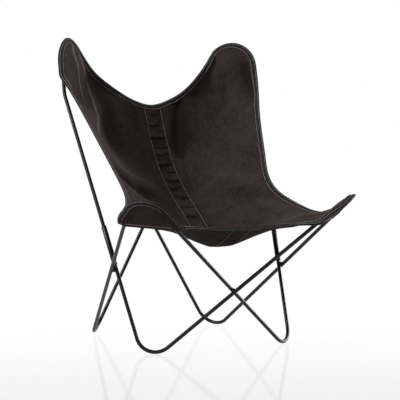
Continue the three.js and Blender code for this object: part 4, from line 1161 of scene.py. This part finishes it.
# What each sheet was cut to, in metres: width, length and area. A panel is cut nearly to a half of
# the cover, a pocket to a rounded tongue, and a tape to a straight band that folds along its middle.
cuts = dict(panel=(0.42, 0.99, 0.273), rear=(0.165, 0.175, 0.0167), front=(0.165, 0.160, 0.0160),
            strip=(0.060, 0.845), sideTape=(0.035, 0.983), topTape=(0.035, 0.752),
            frontTape=(0.035, 0.746))


for side in names:
    pockets = [parts["pocket", kind, side] for kind in ("rear", "front")]
    for kind, piece, rods in zip(("rear", "front"), pockets, ("bow_rod_%s", "bent_rod_%s_tip")):
        rods % names[side]
for label in ("top", "front"):
    cuts[label + "Tape"]

# Floor and light. The lamps and a dim surround light the object. The camera sees the surround as
# white, gloss sees it light grey, and the floor turns into it behind the chair.
studio = dict(
    floor=14.0, fadeStart=-1.2, fadeEnd=1.3, fadeAround=(1.5, 4.0), near=1.375, keep=0.5, floorTone=0.30,
    floorGloss=0.075, world=0.30, seenWhite=1.0, glossWhite=0.65,
    lamps=dict(left_lamp=dict(place=(-4.9, -0.2, 3.3), aim=(0, 0, 0.5), size=1.8, power=200.0),
               right_lamp=dict(place=(5.4, 0.1, 1.5), aim=(0, 0, 0.5), size=1.8, power=230.0)),
)


def addLight(name, place, aim, size, power):  # a square lamp that faces its aim
    data = bpy.data.lights.new(name, "AREA")
    data.shape, data.size, data.energy = "SQUARE", size, power
    way = unit(np.array(aim) - np.array(place))
    across = unit(np.cross(way, (0, 0, 1)))
    lamp = addObject(name, data, np.stack([across, np.cross(across, way), -way], axis=1), place)
    lamp.visible_camera = False


def rays(m, *kinds):  # 1 for a ray of any of these kinds, else 0
    first, *others = (m.node("LightPath", out="Is %s Ray" % kind) for kind in kinds)
    for other in others:
        first = first.maths("MAXIMUM", other)
    return first


# The floor: for the camera and for what shines in gloss, an even glow takes the place of a share of the
# grey. The share and the glow's tone go to those of the backdrop with the depth behind the chair, or all
# around it.
def floorMaterial():
    m = Shader(bpy.data.materials.new("pale_floor"))
    x, y = m.split(m.place())
    forward = unit(-np.array(camera["back"][:2]))
    depth = x * float(forward[0]) + y * float(forward[1])
    around = ((x * x + y * y) ** 0.5).between(*studio["fadeAround"])
    fade = depth.between(studio["fadeStart"], studio["fadeEnd"]).maths("MAXIMUM", around)
    m.set(Base_Color=(studio["floorTone"],) * 3, Roughness=studio["floorGloss"])
    glow = m.node("Emission", None, {"Color": fade * (1 - studio["near"]) + studio["near"]})
    share = rays(m, "Camera", "Glossy", "Transmission") * (fade * (1 - studio["keep"]) + studio["keep"])
    mixed = m.node("MixShader", None, {0: share, 1: Wire(m, m.surface.outputs[0]), 2: glow})
    m.feed(m.tree.nodes["Material Output"].inputs["Surface"], mixed)
    return m.owner


def addFloor():  # a level square about the origin
    half, mesh = studio["floor"], bpy.data.meshes.new("floor")
    corners = [(-half, -half, 0), (half, -half, 0), (half, half, 0), (-half, half, 0)]
    mesh.from_pydata(corners, [], [(0, 1, 2, 3)])
    mesh.materials.append(floorMaterial())
    addObject("floor", mesh)


addFloor()
bpy.context.scene.world = bpy.data.worlds.new("studio")
w, plain = Shader(bpy.context.scene.world, "Background"), studio["world"]
w.set(Color=(1, 1, 1), Strength=rays(w, "Camera", "Transmission") * (studio["seenWhite"] - plain)
      + rays(w, "Glossy") * (studio["glossWhite"] - plain) + plain)
for name, lamp in studio["lamps"].items():
    addLight(name, **lamp)
bpy.context.scene.view_settings.view_transform = "Standard"
print("floor and light made")
